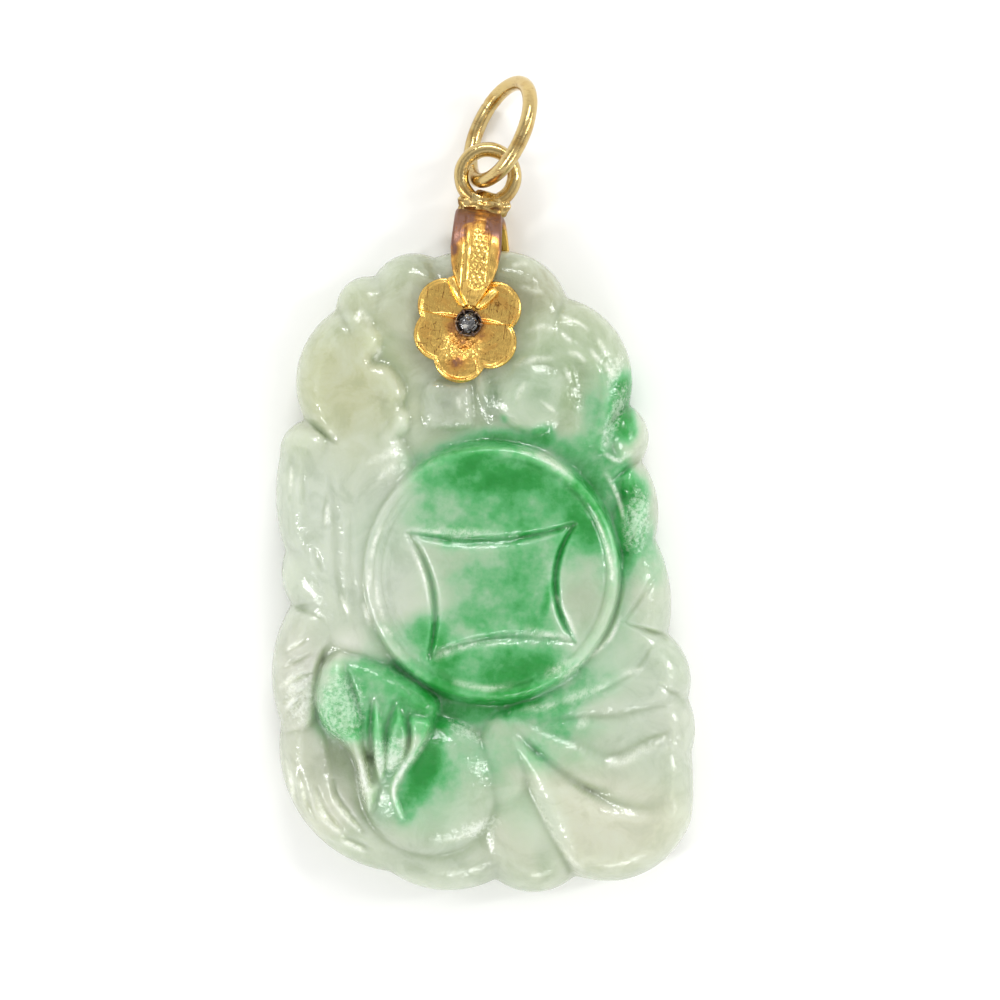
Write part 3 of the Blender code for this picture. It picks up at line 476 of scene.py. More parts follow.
def coin(x, y):
    """The coin: a low crown, a thin rolled rim, fine turned lines inside it, and the four
    cuts that draw its square hole."""
    radius = np.hypot(x, y)
    angle = np.degrees(np.arctan2(y, x))
    face = COIN_FIELD + COIN_SWELL * (1 - (radius / COIN_RADIUS) ** 2)
    rolled = COIN_RIM_RISE * np.clip(0.5 + x / COIN_RADIUS, 0.1, 1)
    face = face + rolled * np.exp(
        -((radius - COIN_RADIUS + COIN_RIM_INSET) / COIN_RIM_HALF) ** 2)
    for line, depth, middle, spread in COIN_LINES:
        apart = (angle - middle + 180) % 360 - 180
        fade = np.clip((spread - abs(apart)) / 20, 0, 1)
        face = face - depth * fade * np.exp(-((radius - line) / COIN_LINE_HALF) ** 2)
    face = np.minimum(face, COIN_CROWN + COIN_WALL * (COIN_RADIUS - COIN_BEVEL - radius))
    for side in square_sides(12):
        for half_width, depth, down in SQUARE_CUTS:
            face = face - wheel_cut(x, y + down, half_width, depth, side, 0.3)
    return face


def bail_frame(x, y):
    """Across and up from the gold blossom's middle, along the leaning strap."""
    c, s = math.cos(STRAP_LEAN), math.sin(STRAP_LEAN)
    dx, dy = x - SEAT[0], y - SEAT[1]
    return dx * c + dy * s, dy * c - dx * s


def soften_net(net):
    """Evens out a net's inner spots in place, each with its four neighbours, twice over."""
    for _ in range(2):
        near = net[:-2, 1:-1] + net[2:, 1:-1] + net[1:-1, :-2] + net[1:-1, 2:]
        net[1:-1, 1:-1] = net[1:-1, 1:-1] / 2 + near / 8


def face_height(x, y, inset):
    height = np.full_like(x, GROUND)
    for form in MOUNDS:
        height = higher(height, mound(x, y, *form))
    for form in RUNS:
        height = higher(height, run(x, y, *form))
    for form in SHEETS:
        height = higher(height, sheet(x, y, *form), 0.08)
    for half_width, depth, route in CUTS:
        height = height - wheel_cut(x, y, half_width, depth, route)
    radius = np.hypot(x, y)
    shallow = np.clip(np.maximum(0.45 - x / COIN_RADIUS, -0.3 - y / COIN_RADIUS), 0, 1)
    floor = MOAT_FLOOR + MOAT_RISE * shallow
    slope = MOAT_SLOPE - MOAT_EASE * shallow
    height = np.minimum(height, floor + slope * np.clip(radius - COIN_RADIUS - 0.15, 0, None))
    height = higher(height, coin(x, y), 0.03)
    for half_width, rise, route in RIDGES:
        height = height + wheel_cut(x, y, half_width, rise, route)
    across, up = bail_frame(x, y)
    under = np.clip(np.hypot(across, np.minimum(up, 0)) - SEAT_REACH, 0, None)
    height = np.minimum(height, SEAT_LEVEL + 0.5 * under)
    soften_net(height)
    fall = np.sqrt(1 - (1 - np.clip(inset / EDGE_ROUND, 0, 1)) ** 2)
    return FACE_RIM + (height - FACE_RIM) * fall


def back_height(x, y, inset):
    """Flat, with a rounded edge and a hollow for the strap's back leg."""
    rounded = BACK_RIM * (1 - np.sqrt(1 - (1 - np.clip(inset / BACK_ROUND, 0, 1)) ** 2))
    across, up = bail_frame(x, y)
    wall = (np.clip((LEG_HOLLOW_HALF - abs(across)) / LEG_HOLLOW_WALL, 0, 1)
            * np.clip((up - LEG_HOLLOW_FOOT) / LEG_HOLLOW_WALL, 0, 1))
    return np.maximum(rounded, LEG_HOLLOW * wall)


def square_ring(steps):
    """Indices of a net's rim, once round."""
    side = range(steps)
    pairs = ([(i, 0) for i in side] + [(steps, j) for j in side]
             + [(steps - i, steps) for i in side] + [(0, steps - j) for j in side])
    return [i * (steps + 1) + j for i, j in pairs]


def net_points(steps, height):
    x, y, inset = carving_net(steps)
    z = height(x, y, inset)
    return np.stack([x * PLAN, y * PLAN, z * RISE], axis=-1).reshape(-1, 3)


def hollows(points, steps):
    """How far each spot of the face lies under its surroundings, 0 to 1, for painted shade."""
    height = points[:, 2].reshape(steps + 1, steps + 1) / RISE
    smooth = height.copy()
    for _ in range(60):
        smooth[1:-1, 1:-1] = (smooth[:-2, 1:-1] + smooth[2:, 1:-1] + smooth[1:-1, :-2]
                              + smooth[1:-1, 2:]) / 4
    return np.clip((smooth - height - 0.02) / 0.22, 0, 1).ravel()


def net_squares(steps, first=0):
    row = steps + 1
    return [(first + i * row + j, first + (i + 1) * row + j, first + (i + 1) * row + j + 1,
             first + i * row + j + 1) for i in range(steps) for j in range(steps)]


def new_piece(name, points, faces, finish, sharp=180.0):
    """A mesh object with its faces turned outwards, smooth up to an angle in degrees."""
    mesh = bpy.data.meshes.new(name)
    mesh.from_pydata([tuple(point) for point in points], [], faces)
    build = bmesh.new()
    build.from_mesh(mesh)
    bmesh.ops.recalc_face_normals(build, faces=build.faces)
    build.to_mesh(mesh)
    build.free()
    mesh.shade_smooth()
    if sharp < 180:
        mesh.set_sharp_from_angle(angle=math.radians(sharp))
    mesh.materials.append(finish)
    piece = bpy.data.objects.new(name, mesh)
    bpy.context.scene.collection.objects.link(piece)
    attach(piece, "root")
    return piece


def linear(colour):
    """An sRGB hex colour such as 8FB58A, as linear red, green, blue and one."""
    values = [int(colour[i:i + 2], 16) / 255 for i in (0, 2, 4)]
    return tuple(v / 12.92 if v <= 0.04045 else ((v + 0.055) / 1.055) ** 2.4
                 for v in values) + (1.0,)


def add(tree, kind, inputs=None, stops=None, **settings):
    """Adds a shader node. An input is a value, or a node or socket to link; stops are the
    places and colours of a ramp."""
    node = tree.nodes.new("ShaderNode" + kind)
    for name, value in settings.items():
        setattr(node, name, value)
    for name, value in (inputs or {}).items():
        if isinstance(value, bpy.types.Node):
            value = value.outputs[0]
        if isinstance(value, bpy.types.NodeSocket):
            tree.links.new(value, node.inputs[name])
        else:
            node.inputs[name].default_value = value
    if stops:
        marks = node.color_ramp.elements
        marks.remove(marks[1])
        marks[0].position, marks[0].color = stops[0][0], linear(stops[0][1])
        for position, colour in stops[1:]:
            marks.new(position).color = linear(colour)
    return node


def new_material(name):
    """An empty material, its node tree and the piece's own coordinates in millimetres."""
    made = bpy.data.materials.new(name)
    made.use_nodes = True
    tree = made.node_tree
    tree.nodes.clear()
    place = add(tree, "TexCoord").outputs["Object"]
    return made, tree, add(tree, "VectorMath", {0: place, "Scale": 1 / MM}, operation="SCALE")


# Colours of the stone's body, with painted shade and light in some patches: middle across and
# up, half width, half height, turn, colour
TINTS_AND_PAINTED_SHADING = (
    (0.0, 17.0, 10.0, 5.5, 0, "A5A78A"), (-9.4, 12.4, 5.0, 6.6, -12, "B8B994"),
    (4.5, 12.8, 5.5, 5.2, 0, "A2B492"), (-11.6, 2.5, 3.6, 8.0, 0, "C0C8B9"),
    (-6.5, 1.0, 3.6, 7.5, 0, "BDC6B7"), (-12.0, -11.5, 3.6, 8.0, 0, "B7BAA9"),
    (-2.5, -19.2, 6.5, 2.6, 0, "ADB7A3"), (6.0, -16.0, 8.5, 4.6, 0, "C4C5B0"),
    (10.0, -7.5, 5.0, 6.5, 0, "B4C0AD"), (-3.0, 11.0, 2.2, 2.0, 0, "ADB5A2"),
    (-3.0, -15.5, 3.4, 3.0, 0, "ABBFA5"), (2.4, 11.8, 2.6, 2.2, 0, "B7C4B0"),
    (-12.8, -6.0, 2.0, 4.0, 0, "C2C4B7"), (3.0, 11.4, 2.6, 2.3, 0, "9BB092"),
    # Painted shade: the patch at (0.1, 11.0), between the knob and the cloud's boss
    (0.1, 11.0, 0.9, 2.4, 0, "6C8462"), (-3.0, 11.0, 1.9, 1.7, 0, "A5AE9A"),
    # Painted shade: the patch at (-2.2, 14.4), beside the gold blossom's lower petals
    (-2.2, 14.4, 2.2, 1.2, 0, "88957A"), (-5.2, 10.4, 0.8, 1.8, 0, "CFD3B8"),
    (12.0, -10.0, 2.4, 4.0, 0, "BCC2B2"), (8.6, -16.4, 5.0, 3.0, 0, "C9CAB6"),
    # Painted light: the pale patch at (-9.2, -4.9) lightens the crease there
    (3.2, -16.0, 1.8, 3.6, 20, "C2CDB8"), (-9.2, -4.9, 1.6, 1.5, 0, "D6D8CC"),
    (-5.4, 8.3, 1.4, 2.0, 0, "D0D8C6"), (-11.0, -6.4, 1.6, 1.5, 0, "C8C9BE"),
    (-7.2, 15.0, 1.4, 1.0, 0, "C0C6A6"), (-10.6, -15.6, 2.4, 1.8, 40, "C2C4B2"),
    (6.0, -6.4, 3.4, 2.2, 20, "C2D2BE"), (-7.2, -15.4, 1.2, 1.5, 0, "94AC92"),
    # Painted shade: the patch at (-9.0, -11.6), in the hollow left of the leaf
    (-2.2, -11.8, 2.6, 1.7, 0, "A0B59B"), (-9.0, -11.6, 1.2, 2.3, 0, "8A967F"),
    # Painted shade: the patch at (5.4, 11.0), in the cloud's hollow beside its boss
    (5.4, 11.0, 1.2, 2.9, 0, "8DA279"), (-6.8, 2.4, 3.0, 2.6, 0, "AEBEA8"),
    # Painted shade: the patch at (3.6, -18.8), beside the pouch's lower left rim
    (3.6, -18.8, 0.9, 1.7, 20, "A0AD93"), (-9.6, 16.2, 1.8, 1.2, 30, "A5AC8E"),
    (-5.4, -13.0, 1.0, 1.4, 0, "9DB29A"), (2.6, 18.4, 2.4, 1.8, 0, "9EA085"),
    (3.7, 19.2, 1.2, 1.4, 30, "9C9D82"), (8.0, 10.2, 0.7, 2.4, -20, "C4DCC0"),
    (-0.2, 18.2, 1.2, 2.2, 0, "98A088"), (-1.9, -10.4, 1.6, 0.7, -30, "BCD2B8"),
)

# Emerald in the stone: middle across and up, half width, half height, turn, strength
EMERALD = (
    # coin, from its top to its foot
    (-0.4, 6.7, 4.4, 2.2, 4, 0.74), (1.2, 6.4, 3.6, 1.6, -6, 0.48),
    (-4.6, 6.6, 1.6, 1.8, 0, 0.20), (5.9, 4.4, 2.6, 2.8, -8, 0.74),
    (6.9, 3.0, 1.1, 3.0, 0, 0.42), (4.6, 2.6, 2.4, 2.4, -20, 0.32),
    (-0.4, 3.6, 4.8, 1.9, 0, 0.40), (0.2, 5.4, 3.4, 0.9, 0, 0.24), (2.0, 3.9, 3.4, 1.5, 0, 0.34),
    (3.4, 5.8, 2.2, 1.4, -20, 0.40), (4.5, 4.6, 1.5, 1.2, 0, 0.34),
    (4.9, 7.5, 1.7, 0.8, -35, 0.35), (0.1, -0.2, 4.9, 3.3, 0, 0.38),
    (-3.0, 2.4, 2.0, 1.2, 0, 0.34), (2.4, 2.2, 2.8, 1.6, 0, 0.30),
    (2.6, -0.7, 2.4, 2.0, 0, 0.16), (3.55, -1.9, 0.34, 1.4, -12, 0.70),
    (0.4, -3.2, 4.8, 1.9, 0, 0.44), (-1.0, -4.9, 1.8, 0.8, 0, 0.22),
    (3.4, -3.0, 1.6, 1.6, 0, 0.26), (4.8, 0.4, 1.4, 2.2, 0, 0.10), (6.2, 0.8, 1.3, 2.6, 0, 0.12),
    (-4.6, 4.2, 2.0, 2.4, 0, 0.24), (0.6, -6.2, 5.2, 2.3, 4, 0.74),
    (1.8, -6.8, 3.4, 1.5, 12, 0.38), (-4.1, -4.4, 2.2, 2.2, 0, 0.52),
    (-3.0, -5.6, 2.2, 1.2, 0, 0.34),
    # ground at the foot of the coin, and round its right side
    (-0.9, -8.7, 4.3, 1.2, -4, 0.66), (2.4, -8.3, 2.8, 1.5, -8, 0.50),
    (-3.4, -7.4, 2.4, 1.8, -20, 0.46), (6.8, -4.6, 3.6, 3.8, 30, 0.18),
    (5.4, -6.2, 1.6, 1.0, 20, 0.20), (5.2, -7.8, 3.4, 1.4, 12, 0.36),
    (7.8, 0.2, 1.4, 3.0, 0, 0.22), (8.2, -2.2, 1.6, 2.0, 0, 0.10),
    (10.4, 0.6, 1.8, 2.0, 0, 0.26), (3.8, -9.6, 3.4, 1.5, -8, 0.34),
    (2.2, -11.6, 2.4, 1.4, -35, 0.34), (7.0, -9.9, 1.8, 1.0, 0, 0.12),
    (0.2, -13.0, 1.4, 3.4, 0, 0.20), (1.8, -15.4, 1.4, 2.6, 10, 0.14),
    (5.0, -11.4, 3.0, 1.8, -20, 0.20),
    # leaf and fruit
    (-7.2, -7.0, 3.6, 1.7, -18, 0.36), (-7.5, -6.2, 2.0, 0.8, -15, 0.22),
    (-5.0, -7.4, 2.6, 1.8, -20, 0.36), (-5.4, -6.3, 1.4, 0.8, -20, 0.35),
    (-9.6, -8.4, 2.3, 2.8, 0, 0.54), (-9.8, -9.8, 2.0, 1.5, 0, 0.28),
    (-7.2, -9.9, 2.2, 2.2, 0, 0.38), (-5.0, -9.2, 1.6, 1.6, 0, 0.45),
    (-6.4, -12.2, 1.8, 2.0, 0, 0.22), (-4.5, -12.9, 1.05, 3.6, -22, 0.95),
    (-5.2, -14.8, 3.0, 2.4, 0, 0.28), (-2.4, -11.8, 2.8, 3.6, 0, 0.30),
    (-1.8, -9.6, 2.4, 0.7, -22, 0.30), (-3.1, -9.8, 1.5, 1.0, -20, 0.30),
    (-3.5, -10.1, 1.0, 1.0, 0, 0.55), (-3.6, -13.8, 2.6, 2.6, 0, 0.16),
    (-6.8, -4.4, 1.8, 1.8, 0, 0.25),
    # cloud's foot, and the buds down the right edge
    (8.6, 11.0, 1.0, 3.0, -10, 0.82), (8.5, 11.8, 0.9, 1.3, -15, 0.40),
    (7.0, 10.6, 1.6, 3.6, -8, 0.38), (6.5, 7.7, 2.2, 1.5, -20, 0.52),
    (7.4, 6.2, 1.4, 1.4, 0, 0.40), (9.0, 9.4, 0.8, 1.4, 0, 0.45), (9.5, 5.0, 1.2, 1.8, 0, 0.62),
    (8.7, 3.6, 1.0, 4.8, 0, 0.70), (9.6, 2.6, 1.5, 2.0, 0, 0.42), (1.4, 8.8, 4.2, 0.9, -4, 0.52),
    (3.5, 9.1, 0.9, 0.8, 0, 0.42), (0.8, 10.0, 0.4, 0.35, 0, 0.45),
    (-3.2, 7.9, 2.6, 0.9, 14, 0.32),
)

# Ground but unpolished places: middle across and up, half width, half height, turn. The patch
# at (-0.9, -16.6) on the round fruit's lower right paints its highlight as a white crust
FROSTED_AND_HIGHLIGHT = (
    (-9.7, -8.8, 1.9, 2.9, 0), (8.05, 10.3, 0.6, 2.6, -20), (9.5, 3.4, 1.1, 2.4, -10),
    (-1.7, -10.3, 1.6, 0.5, -30), (-0.9, -16.6, 1.9, 0.7, 20), (8.1, 13.2, 0.5, 1.5, -20),
    (-8.3, -13.4, 0.7, 1.9, 0), (-6.6, -11.8, 1.6, 1.6, 0), (-12.4, -8.0, 1.2, 2.6, 0),
)


def oval_share(x, y, across, up, half_width, half_height, turn):
    """1 well inside an oval patch, fading smoothly to 0 past its rim."""
    c, s = math.cos(math.radians(turn)), math.sin(math.radians(turn))
    dx, dy = x - across, y - up
    away = np.hypot((dx * c + dy * s) / half_width, (dy * c - dx * s) / half_height)
    near = np.clip((1.25 - away) / 1.1, 0, 1)
    return near * near * (3 - 2 * near)


SQUARE_GREEN = (0.45, 0.62, 0.08, 0.16)  # deeper colour in the square's cuts, from the top


def paint_stone(mesh):
    """Keeps on the mesh the stone's body colour with painted shade and light in some patches, its
    emerald, its unpolished places and one painted highlight, painted white highlights along its
    thin ridges, and how deep its hollows lie, for painted shade there."""
    spots = np.empty(len(mesh.vertices) * 3)
    mesh.vertices.foreach_get("co", spots)
    spots = spots.reshape(-1, 3)
    x, y = spots[:, 0] / PLAN, spots[:, 1] / PLAN
    body = np.tile(linear("B0BAA4"), (len(x), 1))
    # Body colour patches, some of them painted shade and one painted light
    for *patch, colour in TINTS_AND_PAINTED_SHADING:
        share = 0.9 * oval_share(x, y, *patch)[:, None]
        body = body * (1 - share) + np.array(linear(colour)) * share
    green = np.zeros_like(x)
    for *patch, strength in EMERALD:
        green = 1 - (1 - green) * (1 - np.clip(strength * oval_share(x, y, *patch), 0, 0.97))
    for strength, side in zip(SQUARE_GREEN, square_sides(8)):
        green = np.maximum(green, green + (1 - green) * wheel_cut(x, y, 0.30, strength, side, 0.3))
    # Painted highlight: white along the thin ridges
    ridge_highlight = np.zeros_like(x)
    for half_width, _, route in RIDGES:
        ridge_highlight = np.maximum(ridge_highlight, wheel_cut(x, y, half_width, 1.0, route))
    face_spots = (FACE_STEPS + 1) ** 2
    # Painted shade: how far each spot lies in a hollow, which the material darkens
    low = np.zeros_like(x)
    low[:face_spots] = hollows(spots[:face_spots], FACE_STEPS)
    # Ground places, and the painted highlight on the round fruit's lower right
    ground = np.zeros_like(x)
    for patch in FROSTED_AND_HIGHLIGHT:
        ground = np.maximum(ground, oval_share(x, y, *patch))
    for field in (ridge_highlight, green):
        soften_net(field[:face_spots].reshape(FACE_STEPS + 1, FACE_STEPS + 1))
    mesh.attributes.new("body_colour_and_painted_shading", "FLOAT_COLOR", "POINT").data.foreach_set(
        "color", body.ravel())
    for name, values in (("emerald", green), ("frost_and_highlight", ground), ("ridge_highlight", ridge_highlight),
                         ("hollow", low)):
        mesh.attributes.new(name, "FLOAT", "POINT").data.foreach_set("value", values)


def polished_jadeite():
    """Jadeite polished with fine grit: IOR 1.66, a hard wet-looking gloss over a milky body
    that light enters for a millimetre or two, with cloudy white and streaks of emerald."""
    made, tree, place = new_material("Polished jadeite")
    # Body colour, with the painted shade and light of some patches
    body = add(tree, "Attribute", attribute_name="body_colour_and_painted_shading").outputs["Color"]
    emerald = add(tree, "Attribute", attribute_name="emerald").outputs["Fac"]
    frost_and_highlight = add(tree, "Attribute", attribute_name="frost_and_highlight").outputs["Fac"]
    ridge_highlight = add(tree, "Attribute", attribute_name="ridge_highlight").outputs["Fac"]
    hollow = add(tree, "Attribute", attribute_name="hollow").outputs["Fac"]

    # White clouds a few millimetres wide, with cotton-like wisps inside them
    cloud = add(tree, "TexNoise", {"Vector": place, "Scale": 0.42, "Detail": 7.0,
                                   "Roughness": 0.6, "Distortion": 0.6})
    share = add(tree, "MapRange", {0: cloud, 1: 0.42, 2: 0.72, 3: 0.0, 4: 0.55})
    clouded = add(tree, "Mix", {0: share, 6: body, 7: linear("C9D0BF")}, data_type="RGBA")
    dull = add(tree, "MapRange", {0: cloud, 1: 0.50, 2: 0.28, 3: 0.0, 4: 0.35})
    clouded = add(tree, "Mix", {0: dull, 6: clouded.outputs[2], 7: linear("8E9B7F")},
                  data_type="RGBA")

    # Painted shade: the hollows are mixed towards a deeper grey green, more so the deeper they lie
    sunk = add(tree, "Math", {0: hollow, 1: 0.45}, operation="MULTIPLY")
    clouded = add(tree, "Mix", {0: sunk, 6: clouded.outputs[2], 7: linear("93A67C")},
                  data_type="RGBA")

    # Emerald in soft clouds a few millimetres wide, with finer mottling inside them
    soft = add(tree, "TexNoise", {"Vector": place, "Scale": 0.38, "Detail": 3.0,
                                  "Roughness": 0.55})
    fine = add(tree, "TexNoise", {"Vector": place, "Scale": 1.7, "Detail": 4.0,
                                  "Roughness": 0.6})
    soft = add(tree, "MapRange", {0: soft, 1: 0.30, 2: 0.70, 3: 0.62, 4: 1.38})
    fine = add(tree, "MapRange", {0: fine, 1: 0.30, 2: 0.70, 3: 0.84, 4: 1.16})
    vary = add(tree, "Math", {0: soft, 1: fine}, operation="MULTIPLY")
    depth = add(tree, "Math", {0: emerald, 1: vary}, operation="MULTIPLY")
    green = add(tree, "ValToRGB", {0: depth}, stops=(
        (0.0, "A4BE9E"), (0.3, "86B78D"), (0.5, "58A869"), (0.72, "2B9241"), (0.95, "178630")))
    amount = add(tree, "MapRange", {0: depth, 1: 0.0, 2: 0.38})
    colour = add(tree, "Mix", {0: amount, 6: clouded.outputs[2], 7: green}, data_type="RGBA")
    # Painted highlight: white streaks along the thin ridges, broken up by noise
    highlight_breaks = add(tree, "TexNoise", {"Vector": place, "Scale": 2.3, "Detail": 4.0,
                                     "Roughness": 0.7})
    highlight_breaks = add(tree, "MapRange", {0: highlight_breaks, 1: 0.38, 2: 0.58, 3: 0.25, 4: 0.85})
    light = add(tree, "Math", {0: ridge_highlight, 1: highlight_breaks}, operation="MULTIPLY")
    colour = add(tree, "Mix", {0: light, 6: colour.outputs[2], 7: linear("EEF1E4")},
                 data_type="RGBA")

    # Polish leaves long low waves, and the ground places keep a crust of grains. On the round
    # fruit's lower right that whitened crust is a painted highlight
    grain = add(tree, "TexNoise", {"Vector": place, "Scale": 3.6, "Detail": 4.0,
                                   "Roughness": 0.65})
    wave = add(tree, "TexNoise", {"Vector": place, "Scale": 0.9, "Detail": 5.0,
                                  "Roughness": 0.55})
    reach = add(tree, "Math", {0: frost_and_highlight, 1: 0.30, 2: grain}, operation="MULTIPLY_ADD")
    crust = add(tree, "MapRange", {0: reach, 1: 0.58, 2: 0.95})
    here = add(tree, "MapRange", {0: frost_and_highlight, 1: 0.05, 2: 0.35})
    crust = add(tree, "Math", {0: crust, 1: here}, operation="MULTIPLY")
    frost = add(tree, "Math", {0: crust, 1: 0.50}, operation="MULTIPLY")
    colour = add(tree, "Mix", {0: frost, 6: colour.outputs[2], 7: linear("EEF4EA")},
                 data_type="RGBA")
    relief = add(tree, "Bump", {"Strength": 0.8, "Distance": 0.00016, "Height": wave})
    relief = add(tree, "Bump", {"Strength": 0.7, "Distance": 0.00003, "Height": crust,
                                "Normal": relief})
    rough = add(tree, "MapRange", {0: crust, 3: 0.15, 4: 0.42})
    stone = add(tree, "BsdfPrincipled", {
        "Base Color": colour.outputs[2], "Roughness": rough, "Normal": relief, "IOR": 1.66,
        "Subsurface Weight": 1.0, "Subsurface Radius": (1.0, 1.0, 0.85),
        "Subsurface Scale": 0.0024})
    add(tree, "OutputMaterial", {"Surface": stone})
    return made


def make_plaque():
    """Face and back are nets, and a rounded band round the side joins them two to one."""
    points = list(net_points(FACE_STEPS, face_height))
    faces = net_squares(FACE_STEPS)
    rim = square_ring(FACE_STEPS)
    middle = Vector((MIDDLE[0] * PLAN, MIDDLE[1] * PLAN))
    for level in SIDE_LEVELS:
        first = len(points)
        for index in square_ring(FACE_STEPS):
            spot = Vector(points[index][:2])
            spot += (spot - middle).normalized() * SIDE_SWELL * PLAN
            points.append((spot.x, spot.y, level * RISE))
        ring = list(range(first, len(points)))
        faces += [(a, b, d, c) for a, b, c, d in zip(rim, rim[1:] + rim[:1], ring,
                                                     ring[1:] + ring[:1])]
        rim = ring
    first = len(points)
    points += list(net_points(BACK_STEPS, back_height))
    faces += net_squares(BACK_STEPS, first)
    back = [first + index for index in square_ring(BACK_STEPS)]
    for i, (b0, b1) in enumerate(zip(back, back[1:] + back[:1])):
        f0, f1, f2 = rim[2 * i], rim[2 * i + 1], rim[(2 * i + 2) % len(rim)]
        faces += [(f0, f1, b0), (f1, b1, b0), (f1, f2, b1)]
    return new_piece("carved_jade", points, faces, polished_jadeite())


jade = make_plaque()
paint_stone(jade.data)
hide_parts("jade_plaque")


# Gold strap
# A strip of 18 carat gold, rolled flat and folded over the stone's top edge. Its front end is
# filed to a narrow tongue between two small claws and soldered on the blossom. The fold is
# tarnished to a purple brown, and the front is rubbed bright.

BAIL = Matrix.Translation((SEAT[0] * PLAN, SEAT[1] * PLAN, 0)) @ Matrix.Rotation(
    STRAP_LEAN, 4, "Z")
# Share of the strap's length from its front tip, and its width there
STRAP_WIDTHS = ((0.0, 0.7), (0.024, 1.15), (0.06, 1.7), (0.10, 2.25), (0.136, 2.75),
                (0.175, 3.05), (0.243, 3.3), (0.51, 3.05), (1.0, 2.9))
STRAP_SKEWS = ((0.05, 0.0), (0.5, -0.28), (0.78, 0.65))  # share, and how far aside it lies
STRAP_THICKNESS = 0.6
STRAP_EDGE_ROUND, STRAP_EDGE_HALF = 0.14, 0.25
FRONT_LEG = 6.25  # heights of the legs' middles over the ground
BACK_LEG = 0.5
FOLD_MIDDLE = 4.375  # from the blossom's middle up to the middle of the fold
LEG_END = 1.475
STRAP_TIP = 1.075


LIFT_SHARE, LIFT_EASE = 0.58, 0.07  # share of the front leg that rises over the blossom
LIFT_SLOPE = 0.15
TIP_DROP, TIP_DROP_SHARE = 0.5, 0.13  # how much of that rise its tip loses again


def strap_line(steps=264):
    """(length share, up, height, direction out) along the strap, front tip to back end."""
    radius = (FRONT_LEG - BACK_LEG) / 2
    front, bend, back = FOLD_MIDDLE - STRAP_TIP, math.pi * radius, FOLD_MIDDLE - LEG_END
    total = front + bend + back
    for i in range(steps + 1):
        length = total * i / steps
        if length < front:
            below = (LIFT_SHARE - length / front) / LIFT_EASE
            lift = LIFT_SLOPE * front * LIFT_EASE * math.log1p(math.exp(below))
            lift *= 1 - TIP_DROP * math.exp(-(length / front / TIP_DROP_SHARE) ** 2)
            yield (length / total, STRAP_TIP + length, FRONT_LEG + lift,
                   math.pi / 2 - math.atan(LIFT_SLOPE / (1 + math.exp(-below))))
        elif length < front + bend:
            turn = math.pi / 2 - (length - front) / radius
            yield (length / total, FOLD_MIDDLE + radius * math.cos(turn),
                   (FRONT_LEG + BACK_LEG) / 2 + radius * math.sin(turn), turn)
        else:
            yield length / total, FOLD_MIDDLE - (length - front - bend), BACK_LEG, -math.pi / 2


def band_faces(rows, count, around=False):
    """Faces over rows of points, each row a closed loop. Around joins the last to the first."""
    return [(i * count + j, i * count + (j + 1) % count,
             (i + 1) % rows * count + (j + 1) % count, (i + 1) % rows * count + j)
            for i in range(rows if around else rows - 1) for j in range(count)]


FRAME_MIDDLE, FRAME_HALF, FRAME_ROUND = (0.25, 4.4), 1.6, 0.58
FRAME_DEPTH, FRAME_LINE = 0.08, 0.07
SIDE_LINE, SIDE_LINE_DEPTH, SIDE_LINE_HALF = -0.75, 0.06, 0.06
DIMPLE_ROW, DIMPLE_STEP, DIMPLE_REACH, DIMPLE_DEPTH = 0.34, 0.4, 0.12, 0.07
WEAR_DEPTH = 0.025


def strap_marks(across, up):
    """Shallow work on the strap's face: a long frame line round a field of small dimples,
    set in staggered rows."""
    away = math.hypot(across - FRAME_MIDDLE[0],
                      max(0.0, abs(up - FRAME_MIDDLE[1]) - FRAME_HALF)) - FRAME_ROUND
    sunk = FRAME_DEPTH * math.exp(-(away / FRAME_LINE) ** 2)
    sunk += SIDE_LINE_DEPTH * math.exp(-((across - SIDE_LINE) / SIDE_LINE_HALF) ** 2)
    if away < -0.1:
        row = round(up / DIMPLE_ROW)
        aside = (across + DIMPLE_STEP / 2 * (row % 2)) % DIMPLE_STEP - DIMPLE_STEP / 2
        sunk += DIMPLE_DEPTH * math.exp(
            -(aside**2 + (up - DIMPLE_ROW * row) ** 2) / DIMPLE_REACH**2)
    sunk += WEAR_DEPTH * noise.noise(Vector((2.6 * across, 2.2 * up, 3.0)))
    return sunk


